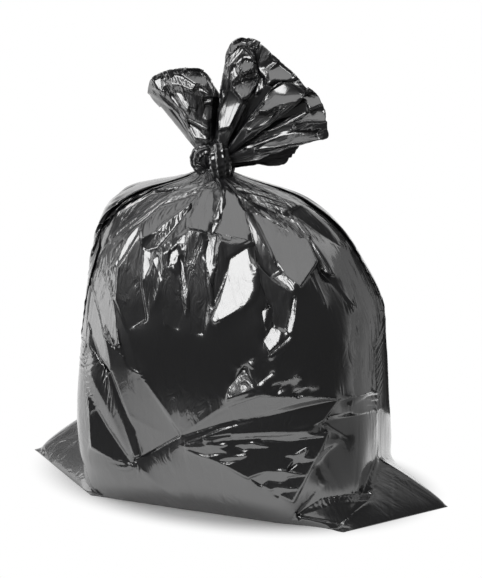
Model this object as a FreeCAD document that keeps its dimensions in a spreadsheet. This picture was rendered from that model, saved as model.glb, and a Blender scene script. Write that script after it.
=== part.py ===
"""A filled bin bag, tied shut at the neck and standing on its flat base. Lengths are in millimetres.

The bag is one tube of plastic film, sealed straight across the bottom, so the whole thing is one piece.
+X runs along the bottom seal, -Y is the front, +Z is up, and the floor is at Z = 0.
"""

import FreeCAD
import Part

import math
import os

import Sketcher

# Name, value and meaning of each driving size.
SIZES = [
    ("flat_width", 706, "width of the empty bag laid flat, from one bottom corner to the other"),
    ("corner_root_inset", 12, "how far each bottom corner reaches into the filled base"),
    ("corner_tip_depth", 8, "front to back size of a corner's blunt tip"),
    ("corner_tip_height", 3, "height of a corner's blunt tip"),
    ("left_corner_depth", 280, "front to back size of the left corner where it leaves the base"),
    ("left_corner_height", 100, "height of the left corner where it leaves the base"),
    ("left_corner_waist", 0.4, "share of its height that the left corner keeps half way out"),
    ("right_corner_depth", 280, "front to back size of the right corner where it leaves the base"),
    ("right_corner_height", 66, "height of the right corner where it leaves the base"),
    ("right_corner_waist", 0.55, "share of its height that the right corner keeps half way out"),
    ("pleat_count", 14, "gathers around the neck"),
    ("pleat_depth", 25, "depth of the deepest gathers"),
    ("pleat_reach", 230, "height below the neck at which the gathers run out"),
    ("dent_count", 4, "broad dents around the sides"),
    ("dent_depth", 4, "depth of the broad dents"),
    ("crease_count", 18, "shallow creases around the sides"),
    ("crease_depth", 3, "depth of the shallow creases"),
    ("crease_lean", 0.9, "turns that the shallow creases wind over the bag's height, in crease spacings"),
    ("knot_rise", 18, "height of the knot's middle above the neck"),
    ("knot_width", 44, "width of the knot's core"),
    ("knot_depth", 44, "front to back size of the knot's core"),
    ("knot_height", 56, "height of the knot's core"),
    ("loop_sides", 6, "flats around the film of each turn over the knot"),
    ("front_loop_radius", 19, "radius of the turn of film over the knot's right side"),
    ("front_loop_film", 13, "radius of that turn's bunched film"),
    ("front_loop_side", 13, "how far right of the knot's middle that turn lies"),
    ("front_loop_tilt", 8, "lean of that turn, in degrees"),
    ("side_loop_radius", 14, "radius of the turn of film over the knot's left side"),
    ("side_loop_film", 11, "radius of that turn's bunched film"),
    ("side_loop_side", -15, "how far right of the knot's middle that turn lies"),
    ("side_loop_tilt", 28, "lean of that turn, in degrees"),
    ("leaf_film", 6, "thickness of a gathered leaf of film above the knot"),
    ("leaf_root", 10, "distance from the knot's middle at which a leaf starts"),
]

# Outline of the filled bag at each level: its rise above the level below, width, depth, sideways shift
# and squareness, where 2 is an ellipse and more is nearer to a rectangle.
LEVELS = [
    ("base", 0, 412, 296, 24, 14.0),
    ("foot", 22, 444, 324, 16, 7.0),
    ("hip", 78, 473, 341, 5, 4.2),
    ("belly", 125, 466, 346, 4, 3.4),
    ("chest", 80, 457, 331, 3, 2.9),
    ("shoulder", 60, 426, 298, -8, 2.5),
    ("brow", 48, 385, 246, -20, 2.3),
    ("crown", 37, 320, 184, -30, 2.2),
    ("collar", 26, 192, 112, -36, 2.0),
    ("throat", 14, 66, 52, -35, 2.0),
    ("neck", 10, 40, 36, -31, 2.0),
]
LEVEL_SIZES = ("rise", "width", "depth", "shift", "squareness")

# Leaves of film above the knot: start and end direction in degrees from +X, length along the first
# edge, the middle and the last edge, how far behind the knot's middle the leaf starts, how far it leans
# back from there, and its waves' depth and number.
LEAVES = [
    ("left_front_leaf", 147, 90, 112, 160, 98, -7, -12, 11, 2.5),
    ("left_back_leaf", 140, 96, 108, 146, 106, 7, 26, 11, 1.5),
    ("upper_leaf", 87, 48, 128, 200, 186, 2, -4, 15, 1.5),
    ("right_leaf", 57, 11, 174, 203, 174, -10, -14, 17, 2.5),
    ("right_back_leaf", 66, 22, 138, 172, 150, 12, 34, 13, 1.5),
    ("lower_leaf", 20, -4, 150, 134, 82, -2, 18, 7, 1.0),
]
LEAF_SIZES = (
    "start",
    "end",
    "first_length",
    "middle_length",
    "last_length",
    "root_back",
    "lean",
    "wave_depth",
    "waves",
)

# How finely the skin and the leaves are divided into facets.
COLUMNS_PER_PLEAT = 5
LEAF_COLUMNS = 15
LEAF_ROWS = 3

# Shares that shape the folds: how soon the gathers and dents fade, how uneven the gathers are, and the
# deepest that a fold may cut into the bag's radius.
GATHER_FADE = 1.3
GATHER_UNEVENNESS = 0.5
GATHER_GROUPS = 5
GATHER_WANDER = 0.14
DENT_FADE = 0.7
DEEPEST_FOLD = 0.34
LEAF_EDGE_THINNING = 0.5


def make_sheet(doc):
    """Write every driving size to the sheet, one row each, and return the sheet."""
    sheet = doc.addObject("Spreadsheet::Sheet", "Sizes")
    rows = list(SIZES)
    for names, table in ((LEVEL_SIZES, LEVELS), (LEAF_SIZES, LEAVES)):
        for part, *values in table:
            rows += [(f"{part}_{name}", value, f"{name} of the {part}") for name, value in zip(names, values)]
    for row, (alias, value, meaning) in enumerate(rows, start=1):
        sheet.set(f"A{row}", alias)
        sheet.set(f"B{row}", str(value))
        sheet.set(f"C{row}", meaning)
        sheet.setAlias(f"B{row}", alias)
    doc.recompute()
    return sheet


def read_sizes(sheet, part, names):
    """The sizes of one part of the sheet, by their short names."""
    return {name: float(getattr(sheet, f"{part}_{name}")) for name in names}


def level_table(sheet):
    """The outline's levels, with each level's height added up from the floor."""
    height = 0
    table = []
    for part, *_ in LEVELS:
        level = read_sizes(sheet, part, LEVEL_SIZES)
        height += level["rise"]
        level["height"] = height
        table.append(level)
    return table


def outline_point(level, turn):
    """A point of a level's outline about its own middle, at a share of a full turn from +X."""
    cosine, sine = math.cos(2 * math.pi * turn), math.sin(2 * math.pi * turn)
    power = level["squareness"]
    reach = (abs(cosine) ** power + abs(sine) ** power) ** (-1 / power)
    return level["width"] / 2 * reach * cosine, level["depth"] / 2 * reach * sine


def wave(turns):
    """A smooth wave that is 0 at whole turns and 1 half way between them."""
    return 0.5 - 0.5 * math.cos(2 * math.pi * turns)


def fold_depth(sheet, top, height, turn):
    """How far the film folds inwards: gathers by the neck, and broad dents and creases lower down."""
    near_neck = max(0.0, 1 - (top - height) / float(sheet.pleat_reach))
    uneven = 1 - GATHER_UNEVENNESS * wave(GATHER_GROUPS * turn)
    spacing = GATHER_WANDER * math.sin(2 * math.pi * turn)
    gather = near_neck**GATHER_FADE * uneven * wave(round(sheet.pleat_count) * turn + spacing)
    share = height / top
    side = math.sin(math.pi * share) ** DENT_FADE
    dent = side * wave(round(sheet.dent_count) * turn + share)
    crease = side * (1 - near_neck) * wave(round(sheet.crease_count) * turn + float(sheet.crease_lean) * share)
    return (
        float(sheet.pleat_depth) * gather + float(sheet.dent_depth) * dent + float(sheet.crease_depth) * crease
    )


def skin_rings(sheet):
    """Rings of points up the filled bag, from the floor to the neck."""
    table = level_table(sheet)
    top = table[-1]["height"]
    columns = COLUMNS_PER_PLEAT * round(sheet.pleat_count)
    rings = []
    for level in table:
        ring = []
        for column in range(columns):
            turn = column / columns
            x, y = outline_point(level, turn)
            share = fold_depth(sheet, top, level["height"], turn) / math.hypot(x, y)
            kept = 1 - min(share, DEEPEST_FOLD)
            ring.append(FreeCAD.Vector(level["shift"] + x * kept, y * kept, level["height"]))
        rings.append(ring)
    return rings


def quad(first, second, third, fourth):
    """Two triangles over four corners in order."""
    return [(first, second, third), (first, third, fourth)]


def facet_solid(points, triangles):
    """A closed solid with flat triangular faces."""
    skin = Part.Shape()
    skin.makeShapeFromMesh((points, triangles), 0.001)
    solid = Part.Solid(Part.Shell(skin.Faces))
    if solid.Volume < 0:
        solid.reverse()
    return solid


def skin_solid(sheet):
    """The filled bag from the floor to the neck, closed by a flat lid at each end."""
    rings = skin_rings(sheet)
    return Part.makeLoft([Part.makePolygon(ring + ring[:1]) for ring in rings], True, False)


def leaf_length(size, across):
    """The length of a leaf's ray, on a smooth curve through its first, middle and last lengths."""
    return (
        size["first_length"] * (1 - across) * (1 - 2 * across)
        + size["middle_length"] * 4 * across * (1 - across)
        + size["last_length"] * across * (2 * across - 1)
    )


def leaf_point(sheet, size, root, across, along, side):
    """A point of a leaf: across it from edge to edge, along it from the knot, and on its front or back."""
    angle = math.radians(size["start"] + (size["end"] - size["start"]) * across)
    inner = float(sheet.leaf_root)
    out = inner + (leaf_length(size, across) - inner) * along
    ripple = size["wave_depth"] * math.cos(2 * math.pi * size["waves"] * across)
    film = side * float(sheet.leaf_film) / 2 * (1 - LEAF_EDGE_THINNING * along)
    back = size["root_back"] + (size["lean"] + ripple) * along + film
    return (root[0] + out * math.cos(angle), root[1] + back, root[2] + out * math.sin(angle))


def leaf_solid(sheet, part, root):
    """One gathered leaf of film: a pleated sheet that fans out from the knot."""
    size = read_sizes(sheet, part, LEAF_SIZES)
    points = []
    for side in (-1, 1):
        for column in range(LEAF_COLUMNS):
            for row in range(LEAF_ROWS):
                across, along = column / (LEAF_COLUMNS - 1), row / (LEAF_ROWS - 1)
                points.append(leaf_point(sheet, size, root, across, along, side))
    back = LEAF_COLUMNS * LEAF_ROWS
    triangles = []
    for column in range(LEAF_COLUMNS - 1):
        for row in range(LEAF_ROWS - 1):
            here, beside = column * LEAF_ROWS + row, (column + 1) * LEAF_ROWS + row
            triangles += quad(here, here + 1, beside + 1, beside)
            triangles += quad(back + here, back + beside, back + beside + 1, back + here + 1)
    rim = leaf_rim()
    for here, after in zip(rim, rim[1:] + rim[:1]):
        triangles += quad(here, after, back + after, back + here)
    return facet_solid(points, triangles)


def leaf_rim():
    """The points around the edge of a leaf's front, in order."""
    last_column = (LEAF_COLUMNS - 1) * LEAF_ROWS
    root = [column * LEAF_ROWS for column in range(LEAF_COLUMNS)]
    last = [last_column + row for row in range(1, LEAF_ROWS)]
    mouth = [column * LEAF_ROWS + LEAF_ROWS - 1 for column in range(LEAF_COLUMNS - 2, -1, -1)]
    first = list(range(LEAF_ROWS - 2, 0, -1))
    return root + last + mouth + first


def add_feature(doc, name, shape):
    """A plain feature that holds a shape."""
    feature = doc.addObject("Part::Feature", name)
    feature.Shape = shape
    return feature


def new_sketch(body, name, plane):
    """A sketch of a body, on one of the body's own origin planes."""
    sketch = body.newObject("Sketcher::SketchObject", name)
    sketch.AttachmentSupport = [item for item in body.Origin.OriginFeatures if item.Role == plane]
    sketch.MapMode = "FlatFace"
    return sketch


def bind_length(sketch, label, constraint, expression):
    """Add a length to a sketch and bind it to the sheet."""
    index = sketch.addConstraint(constraint)
    sketch.renameConstraint(index, label)
    sketch.setExpression(f"Constraints.{label}", expression)


def join_ends(sketch, lines):
    """Tie each line's end to the next line's start, round to the first."""
    for one, other in zip(lines, lines[1:] + lines[:1]):
        sketch.addConstraint(Sketcher.Constraint("Coincident", one, 2, other, 1))


def corner_solid(sheet, side, outwards):
    """A pointed bottom corner, where the empty end of the film lies out flat beside the filled base.

    It is flat on the floor, with two slopes up to the fold along its top, and narrows to a blunt tip.
    """
    size = read_sizes(sheet, f"{side}_corner", ("depth", "height", "waist"))
    edge = float(sheet.base_shift) + outwards * (float(sheet.base_width) / 2 - float(sheet.corner_root_inset))
    tip = outwards * float(sheet.flat_width) / 2
    sections = [
        (edge, size["depth"], size["height"]),
        ((edge + tip) / 2, (size["depth"] + float(sheet.corner_tip_depth)) / 2, size["height"] * size["waist"]),
        (tip, float(sheet.corner_tip_depth), float(sheet.corner_tip_height)),
    ]
    points = []
    for x, depth, height in sections:
        points += [(x, -depth / 2, 0), (x, depth / 2, 0), (x, 0, height)]
    triangles = [(0, 2, 1), (6, 7, 8)]
    for first in (0, 3):
        for here, after in ((0, 1), (1, 2), (2, 0)):
            triangles += quad(first + here, first + after, first + 3 + after, first + 3 + here)
    return facet_solid(points, triangles)


def knot_height():
    """The height of the knot's middle above the floor, as an expression."""
    rises = " + ".join(f"Sizes.{part}_rise" for part, *_ in LEVELS)
    return f"{rises} + Sizes.knot_rise"


def loop_sketch(body, name, sides):
    """The section of a turn of bunched film: an even-sided outline beside the axis it turns about."""
    sketch = new_sketch(body, f"{name}_section", "XZ_Plane")
    radius, film = 20, 10
    corners = [
        FreeCAD.Vector(
            radius + film * math.cos(2 * math.pi * (corner + 0.5) / sides),
            film * math.sin(2 * math.pi * (corner + 0.5) / sides),
            0,
        )
        for corner in range(sides)
    ]
    guide = sketch.addGeometry(Part.Circle(FreeCAD.Vector(radius, 0, 0), FreeCAD.Vector(0, 0, 1), film), True)
    lines = [
        sketch.addGeometry(Part.LineSegment(start, end)) for start, end in zip(corners, corners[1:] + corners[:1])
    ]
    join_ends(sketch, lines)
    for line in lines:
        sketch.addConstraint(Sketcher.Constraint("PointOnObject", line, 1, guide))
    for line in lines[1:]:
        sketch.addConstraint(Sketcher.Constraint("Equal", lines[0], line))
    sketch.addConstraint(Sketcher.Constraint("Vertical", lines[-1]))
    sketch.addConstraint(Sketcher.Constraint("PointOnObject", guide, 3, -1))
    bind_length(sketch, "Film", Sketcher.Constraint("Radius", guide, film), f"Sizes.{name}_film")
    bind_length(sketch, "Turn", Sketcher.Constraint("DistanceX", -1, 1, guide, 3, radius), f"Sizes.{name}_radius")
    return sketch


def make_loop(doc, sheet, name):
    """One turn of bunched film over the knot, leaning by its own tilt."""
    body = doc.addObject("PartDesign::Body", name)
    sketch = loop_sketch(body, name, round(sheet.loop_sides))
    doc.recompute()
    turned = body.newObject("PartDesign::Revolution", f"{name}_turn")
    turned.Profile = sketch
    turned.ReferenceAxis = (sketch, ["V_Axis"])
    turned.Angle = 360
    body.Placement.Rotation = FreeCAD.Rotation(FreeCAD.Vector(0, 1, 0), 90)
    body.setExpression("Placement.Rotation.Angle", f"90 + Sizes.{name}_tilt")
    body.setExpression("Placement.Base.x", f"Sizes.neck_shift + Sizes.{name}_side")
    body.setExpression("Placement.Base.z", knot_height())
    doc.recompute()
    return body


def make_knot_core(doc):
    """The packed film in the middle of the knot."""
    core = doc.addObject("Part::Ellipsoid", "knot_core")
    core.setExpression("Radius1", "Sizes.knot_height / 2")
    core.setExpression("Radius2", "Sizes.knot_width / 2")
    core.setExpression("Radius3", "Sizes.knot_depth / 2")
    core.setExpression("Placement.Base.x", "Sizes.neck_shift")
    core.setExpression("Placement.Base.z", knot_height())
    return core


def make_bag(doc, sheet):
    """The whole bag as one solid: filled skin, bottom corners, knot and the leaves above it."""
    top = level_table(sheet)[-1]
    root = (top["shift"], 0, top["height"] + float(sheet.knot_rise))
    pieces = [
        add_feature(doc, "filled_skin", skin_solid(sheet)),
        add_feature(doc, "left_corner", corner_solid(sheet, "left", -1)),
        add_feature(doc, "right_corner", corner_solid(sheet, "right", 1)),
        make_knot_core(doc),
        make_loop(doc, sheet, "front_loop"),
        make_loop(doc, sheet, "side_loop"),
    ]
    pieces += [add_feature(doc, part, leaf_solid(sheet, part, root)) for part, *_ in LEAVES]
    bag = doc.addObject("Part::MultiFuse", "tied_bag")
    bag.Shapes = pieces
    bag.Refine = True
    bag.Label = "bin_bag"
    doc.recompute()
    return bag


def check(doc, nodes):
    """Stop if any object failed, or if any node isn't one sound solid."""
    for item in doc.Objects:
        if "Invalid" in item.State or "Error" in item.State:
            raise RuntimeError(f"{item.Name} failed: {item.State}")
    for node in nodes:
        if node.Shape.isNull() or not node.Shape.isValid():
            raise RuntimeError(f"{node.Label} has no valid shape")
        if len(node.Shape.Solids) != 1:
            raise RuntimeError(f"{node.Label} has {len(node.Shape.Solids)} solids")


def main():
    """Build the document, test it and write each node's file."""
    doc = FreeCAD.newDocument("FilledBinBag")
    sheet = make_sheet(doc)
    nodes = [make_bag(doc, sheet)]
    check(doc, nodes)
    os.makedirs("parts", exist_ok=True)
    for node in nodes:
        node.Shape.exportStep(f"parts/{node.Label}.step")
        box = node.Shape.BoundBox
        print(f"{node.Label}: {node.Shape.Volume / 1e6:.1f} litres, {len(node.Shape.Faces)} faces")
        for axis in "XYZ":
            print(f"{axis} {getattr(box, axis + 'Min'):.1f} to {getattr(box, axis + 'Max'):.1f}")


main()
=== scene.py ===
"""A filled, knotted bin bag in glossy black film, photographed on a pale floor.

The bag is one tube of thin polyethylene. Its filled body is a closed skin, and the leaves of loose film
above the knot are thin sheets. Both are shaped to the photograph's view and then relaxed, so that they
fold and crease the way film does: it bends freely but hardly stretches. The knot is made of bunches of
film, gathered along their paths.
"""

from __future__ import annotations

import logging
import math
from dataclasses import dataclass
from enum import Enum

import bpy
import numpy as np
from mathutils import Matrix, Vector


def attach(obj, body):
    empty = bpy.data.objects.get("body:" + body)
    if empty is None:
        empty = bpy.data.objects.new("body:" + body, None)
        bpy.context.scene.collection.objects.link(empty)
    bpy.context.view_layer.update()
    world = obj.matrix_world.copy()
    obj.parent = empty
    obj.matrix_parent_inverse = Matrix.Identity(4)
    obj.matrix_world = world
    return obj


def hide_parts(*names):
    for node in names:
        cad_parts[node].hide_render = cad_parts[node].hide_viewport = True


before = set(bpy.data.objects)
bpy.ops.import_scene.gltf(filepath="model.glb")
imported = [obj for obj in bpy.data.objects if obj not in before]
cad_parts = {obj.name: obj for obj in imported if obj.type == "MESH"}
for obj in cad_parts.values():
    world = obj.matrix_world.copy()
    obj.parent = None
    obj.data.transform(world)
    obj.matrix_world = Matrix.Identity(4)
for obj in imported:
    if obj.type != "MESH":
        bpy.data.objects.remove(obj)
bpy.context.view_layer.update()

LOG = logging.getLogger("bin_bag")
NODE = "bin_bag"
MM = 0.001
FILM_THICKNESS = 0.5


def direction(azimuth: float, elevation: float) -> np.ndarray:
    """The direction away from the bag, by degrees right of the front and degrees up."""
    turn, lift = math.radians(azimuth), math.radians(elevation)
    return np.array([math.sin(turn) * math.cos(lift), -math.cos(turn) * math.cos(lift), math.sin(lift)])


@dataclass(frozen=True)
class PhotoView:
    """The photograph's camera, fitted to the bag's bottom corners, corner tips and knot.

    Lengths are in millimetres, and pixels are those of the 482 x 578 photograph.
    """

    azimuth: float = 20.0
    elevation: float = 16.0
    distance: float = 2600.0
    target: tuple[float, float, float] = (32.2, -48.3, 330.0)
    mm_per_pixel: float = 1.52
    width: float = 482.0
    height: float = 578.0

    def axes(self) -> tuple[np.ndarray, np.ndarray, np.ndarray]:
        """The directions right, up and back towards the camera."""
        turn = math.radians(self.azimuth)
        back = direction(self.azimuth, self.elevation)
        right = np.array([math.cos(turn), math.sin(turn), 0.0])
        return right, np.cross(back, right), back

    def eye(self) -> np.ndarray:
        """Where the camera stands."""
        return np.array(self.target) + self.axes()[2] * self.distance

    def pixels(self, points: np.ndarray) -> np.ndarray:
        """Where points show in the photograph.

        Args:
            points: positions in millimetres, with x, y and z along the last axis.

        Returns:
            Pixel columns and rows along the last axis.
        """
        right, up, back = self.axes()
        away = points - self.eye()
        scale = self.distance / self.mm_per_pixel / -(away @ back)
        return np.stack(
            [self.width / 2 + away @ right * scale, self.height / 2 - away @ up * scale], axis=-1
        )

    def places(self, pixels: np.ndarray, depth: np.ndarray) -> np.ndarray:
        """Where points of the photograph are, at given depths.

        Args:
            pixels: pixel columns and rows along the last axis.
            depth: millimetres towards the camera from the bag's middle plane, y = 0.

        Returns:
            Positions in millimetres.
        """
        right, up, back = self.axes()
        scale = self.mm_per_pixel / self.distance
        across = (pixels[..., 0] - self.width / 2) * scale
        rise = (self.height / 2 - pixels[..., 1]) * scale
        ray = across[..., None] * right + rise[..., None] * up - back
        away = -self.eye()[1] / ray[..., 1] - depth
        return self.eye() + ray * away[..., None]


VIEW = PhotoView()


def curve_through(places: np.ndarray, values: np.ndarray, wanted: np.ndarray) -> np.ndarray:
    """Read a smooth curve through given values at wanted places.

    Args:
        places: increasing places of the values.
        values: one row of values for each place.
        wanted: places to read.

    Returns:
        One row of values for each wanted place.
    """
    slopes = np.gradient(values, places, axis=0)
    below = np.clip(np.searchsorted(places, wanted, side="right") - 1, 0, len(places) - 2)
    step = (places[below + 1] - places[below])[:, None]
    part = ((wanted - places[below]) / step[:, 0])[:, None]
    low, high = values[below], values[below + 1]
    return (
        (1 + 2 * part) * (1 - part) ** 2 * low
        + part * (1 - part) ** 2 * step * slopes[below]
        + part**2 * (3 - 2 * part) * high
        + part**2 * (part - 1) * step * slopes[below + 1]
    )


def grid_normals(points: np.ndarray, closed: bool) -> np.ndarray:
    """The unit normals of a grid of points, rows first.

    Args:
        points: positions in rows and columns.
        closed: whether the last column joins the first.

    Returns:
        One normal for each point, to the left of the rows' direction.
    """
    if closed:
        along = np.roll(points, -1, axis=1) - np.roll(points, 1, axis=1)
    else:
        along = np.gradient(points, axis=1)
    across = np.gradient(points, axis=0)
    normals = np.cross(along, across)
    return normals / np.maximum(np.linalg.norm(normals, axis=-1, keepdims=True), 1e-9)


@dataclass
class Film:
    """A sheet of film as a grid of points, relaxed so that it bends freely but keeps its lengths.

    goal is the shape it lies near, hold how firmly each point keeps to it, where 1 is fixed, and inside
    and outside how far, in millimetres, a point may move off it either way. bend is how much each round
    evens out sharp folds.
    """

    goal: np.ndarray
    closed: bool
    rest_along: np.ndarray
    rest_across: np.ndarray
    hold: np.ndarray
    inside: np.ndarray
    outside: np.ndarray
    bend: float

    def diagonals(self) -> tuple[np.ndarray, np.ndarray]:
        """The rest lengths of both diagonals of each cell."""
        points = self.goal
        right = np.roll(points, -1, axis=1)
        along, across = (right - points)[:-1], points[1:] - points[:-1]
        lengths = np.linalg.norm(along, axis=-1) * np.linalg.norm(across, axis=-1)
        cosine = np.einsum("ijk,ijk->ij", along, across) / np.maximum(lengths, 1e-9)
        u, v = self.rest_along[:-1], self.rest_across
        rising = np.sqrt(u**2 + v**2 + 2 * u * v * cosine)
        falling = np.sqrt(np.maximum(u**2 + v**2 - 2 * u * v * cosine, 1e-6))
        return rising, falling

    def cut(self, widest_box: float = 3.1) -> tuple[float, float, float]:
        """The flat width, length and area of an open sheet, in millimetres.

        Args:
            widest_box: the most that the width times the length may be, as a multiple of the area.

        Returns:
            The width of its widest row, its longest way from the first row to the last, and its area.
        """
        along, across = np.diff(self.goal, axis=1)[:-1], np.diff(self.goal, axis=0)[:, :-1]
        lengths = np.linalg.norm(along, axis=-1) * np.linalg.norm(across, axis=-1)
        heights = self.rest_across[:, :-1] * np.linalg.norm(np.cross(along, across), axis=-1) / lengths
        width = self.rest_along[:, :-1].sum(axis=1).max()
        area = (self.rest_along[:-1, :-1] * heights).sum()
        length = heights.sum(axis=0).max()
        return min(width, widest_box * area / length), length, area

    @staticmethod
    def pull(first: np.ndarray, second: np.ndarray, rest: np.ndarray) -> np.ndarray:
        """Half the correction that brings two sets of points to their rest lengths.

        Args:
            first: one set of points.
            second: the other set.
            rest: the rest length of each pair.

        Returns:
            The move of each first point; the second moves as far the other way.
        """
        gap = second - first
        length = np.sqrt(np.einsum("ijk,ijk->ij", gap, gap)) + 1e-9
        return gap * (0.5 * (1 - rest / length))[..., None]

    def pull_along(self, points: np.ndarray) -> None:
        """Bring neighbours in each row to their rest lengths, every other pair at a time."""
        columns = points.shape[1]
        last = columns if self.closed else columns - 1
        for first in (0, 1):
            here = np.arange(first, last, 2)
            beside = (here + 1) % columns
            step = self.pull(points[:, here], points[:, beside], self.rest_along[:, here])
            points[:, here] += step
            points[:, beside] -= step

    def pull_across(self, points: np.ndarray) -> None:
        """Bring neighbours in each column to their rest lengths, every other pair at a time."""
        for first in (0, 1):
            low, high = points[first:-1:2], points[first + 1 :: 2]
            step = self.pull(low, high, self.rest_across[first::2])
            low += step
            high -= step

    def pull_diagonal(self, points: np.ndarray, rest: np.ndarray, rising: bool) -> None:
        """Bring one diagonal of each cell to its rest length.

        Args:
            points: the film, changed in place.
            rest: the rest length of each cell's diagonal.
            rising: whether it is the diagonal that rises to the right.
        """
        columns = points.shape[1]
        here = np.arange(columns if self.closed else columns - 1)
        beside = (here + 1) % columns
        low_at, high_at = (here, beside) if rising else (beside, here)
        for first in (0, 1):
            low, high = points[first:-1:2][:, low_at], points[first + 1 :: 2][:, high_at]
            step = self.pull(low, high, rest[first::2][:, here])
            points[first:-1:2][:, low_at] += step
            points[first + 1 :: 2][:, high_at] -= step

    def even_out(self, points: np.ndarray) -> None:
        """Move each point a little towards the middle of its neighbours."""
        points[1:-1] += self.bend * (0.5 * (points[:-2] + points[2:]) - points[1:-1])
        if self.closed:
            around = 0.5 * (np.roll(points, 1, axis=1) + np.roll(points, -1, axis=1))
            points += self.bend * (around - points)
        else:
            points[:, 1:-1] += self.bend * (0.5 * (points[:, :-2] + points[:, 2:]) - points[:, 1:-1])

    def relax(self, points: np.ndarray, rounds: int) -> np.ndarray:
        """Relax the film from a starting shape.

        Args:
            points: the starting shape, in rows and columns.
            rounds: how many times every length is corrected.

        Returns:
            The relaxed shape.
        """
        normals = grid_normals(self.goal, self.closed)
        rising, falling = self.diagonals()
        free = (self.hold < 1)[..., None]
        start = points.copy()
        for _ in range(rounds):
            self.pull_along(points)
            self.pull_across(points)
            self.pull_diagonal(points, rising, True)
            self.pull_diagonal(points, falling, False)
            self.even_out(points)
            rise = np.einsum("ijk,ijk->ij", points - self.goal, normals)
            wanted = np.clip(rise, -self.inside, self.outside)
            wanted -= wanted * np.minimum(self.hold, 1)
            points += normals * (wanted - rise)[..., None]
            points = np.where(free, points, start)
        return points


def finer(points: np.ndarray, closed: bool, rows: int, columns: int) -> np.ndarray:
    """Read a grid of points at more rows and columns, on smooth curves through them.

    Args:
        points: positions in rows and columns.
        closed: whether the last column joins the first.
        rows: how many rows to read.
        columns: how many columns to read.

    Returns:
        The finer grid.
    """
    row_places = np.arange(points.shape[0], dtype=float)
    flat = points.reshape(points.shape[0], -1)
    wanted = np.linspace(0, points.shape[0] - 1, rows)
    tall = curve_through(row_places, flat, wanted).reshape(rows, points.shape[1], -1)
    turned = np.swapaxes(tall, 0, 1)
    if closed:
        turned = np.concatenate([turned[-2:], turned, turned[:3]])
        column_places = np.arange(-2, points.shape[1] + 3, dtype=float)
        wanted = np.arange(columns) * (points.shape[1] / columns)
    else:
        column_places = np.arange(points.shape[1], dtype=float)
        wanted = np.linspace(0, points.shape[1] - 1, columns)
    wide = curve_through(column_places, turned.reshape(turned.shape[0], -1), wanted)
    return np.swapaxes(wide.reshape(columns, rows, -1), 0, 1)


def sampled(grid: np.ndarray, closed: bool, rows: int, columns: int) -> np.ndarray:
    """Read a grid at any number of rows and columns, on straight lines between its places.

    Args:
        grid: plain numbers or points in rows and columns.
        closed: whether the last column joins the first.
        rows: how many rows to read.
        columns: how many columns to read.

    Returns:
        The new grid, of numbers or points as the first.
    """
    values = grid if grid.ndim == 3 else grid[..., None]
    row_at = np.linspace(0, values.shape[0] - 1, rows)
    low = np.minimum(row_at.astype(int), values.shape[0] - 2)
    part = (row_at - low)[:, None, None]
    tall = values[low] * (1 - part) + values[low + 1] * part
    if closed:
        column_at = np.arange(columns) * (values.shape[1] / columns)
    else:
        column_at = np.linspace(0, values.shape[1] - 1, columns)
    left = column_at.astype(int)
    right = (left + 1) % values.shape[1] if closed else np.minimum(left + 1, values.shape[1] - 1)
    part = (column_at - left)[None, :, None]
    wide = tall[:, left] * (1 - part) + tall[:, right] * part
    return wide if grid.ndim == 3 else wide[..., 0]


def film_places(points: np.ndarray, closed: bool) -> np.ndarray:
    """Where each face corner of a grid lies on the flat film.

    Args:
        points: positions in millimetres, in rows and columns.
        closed: whether the last column joins the first.

    Returns:
        Two coordinates in metres for each corner, in the order of the quads.
    """
    following = np.roll(points, -1, axis=1) if closed else points[:, 1:]
    along = np.linalg.norm(following - (points if closed else points[:, :-1]), axis=-1).mean(axis=0)
    across = np.linalg.norm(np.diff(points, axis=0), axis=-1).mean(axis=1)
    u = np.concatenate([[0], np.cumsum(along)]) * MM
    v = np.concatenate([[0], np.cumsum(across)]) * MM
    corners = np.empty((len(v) - 1, len(u) - 1, 4, 2))
    for corner, (row, column) in enumerate(((0, 0), (0, 1), (1, 1), (1, 0))):
        corners[:, :, corner, 0] = u[None, column : len(u) - 1 + column]
        corners[:, :, corner, 1] = v[row : len(v) - 1 + row, None]
    return corners.reshape(-1, 2)


def set_film_places(mesh: bpy.types.Mesh, places: np.ndarray) -> None:
    """Store film places as the mesh's coordinates; corners beyond them stay at zero."""
    values = np.zeros((len(mesh.loops), 2), dtype=np.float32)
    values[: len(places)] = places
    mesh.uv_layers.new(name="film").data.foreach_set("uv", values.ravel())


def linked(name: str, data: bpy.types.ID) -> bpy.types.Object:
    """An object in the scene for a mesh, a camera or a lamp."""
    piece = bpy.data.objects.new(name, data)
    bpy.context.scene.collection.objects.link(piece)
    return piece


def body_from_rings(name: str, points: np.ndarray) -> bpy.types.Object:
    """A closed body from rings of points, with a fan over the first and the last ring.

    Args:
        name: the piece's name.
        points: positions in millimetres, one row for each ring.

    Returns:
        The new object, at the origin.
    """
    rows, columns = points.shape[:2]
    vertices = points.reshape(-1, 3) * MM
    index = np.arange(rows * columns).reshape(rows, columns)
    right = np.roll(index, -1, axis=1)
    faces = np.stack([index[:-1], right[:-1], right[1:], index[1:]], axis=-1).reshape(-1, 4).tolist()
    middles = []
    for row, order in ((0, -1), (rows - 1, 1)):
        middle = len(vertices) + len(middles)
        middles.append(vertices[index[row]].mean(axis=0))
        for pair in zip(index[row].tolist(), right[row].tolist()):
            faces.append([middle, *pair[::order]])
    mesh = bpy.data.meshes.new(name)
    mesh.from_pydata(np.vstack([vertices, *middles]).tolist(), [], faces)
    set_film_places(mesh, film_places(points, True))
    mesh.shade_smooth()
    mesh.update()
    return linked(name, mesh)


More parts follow.
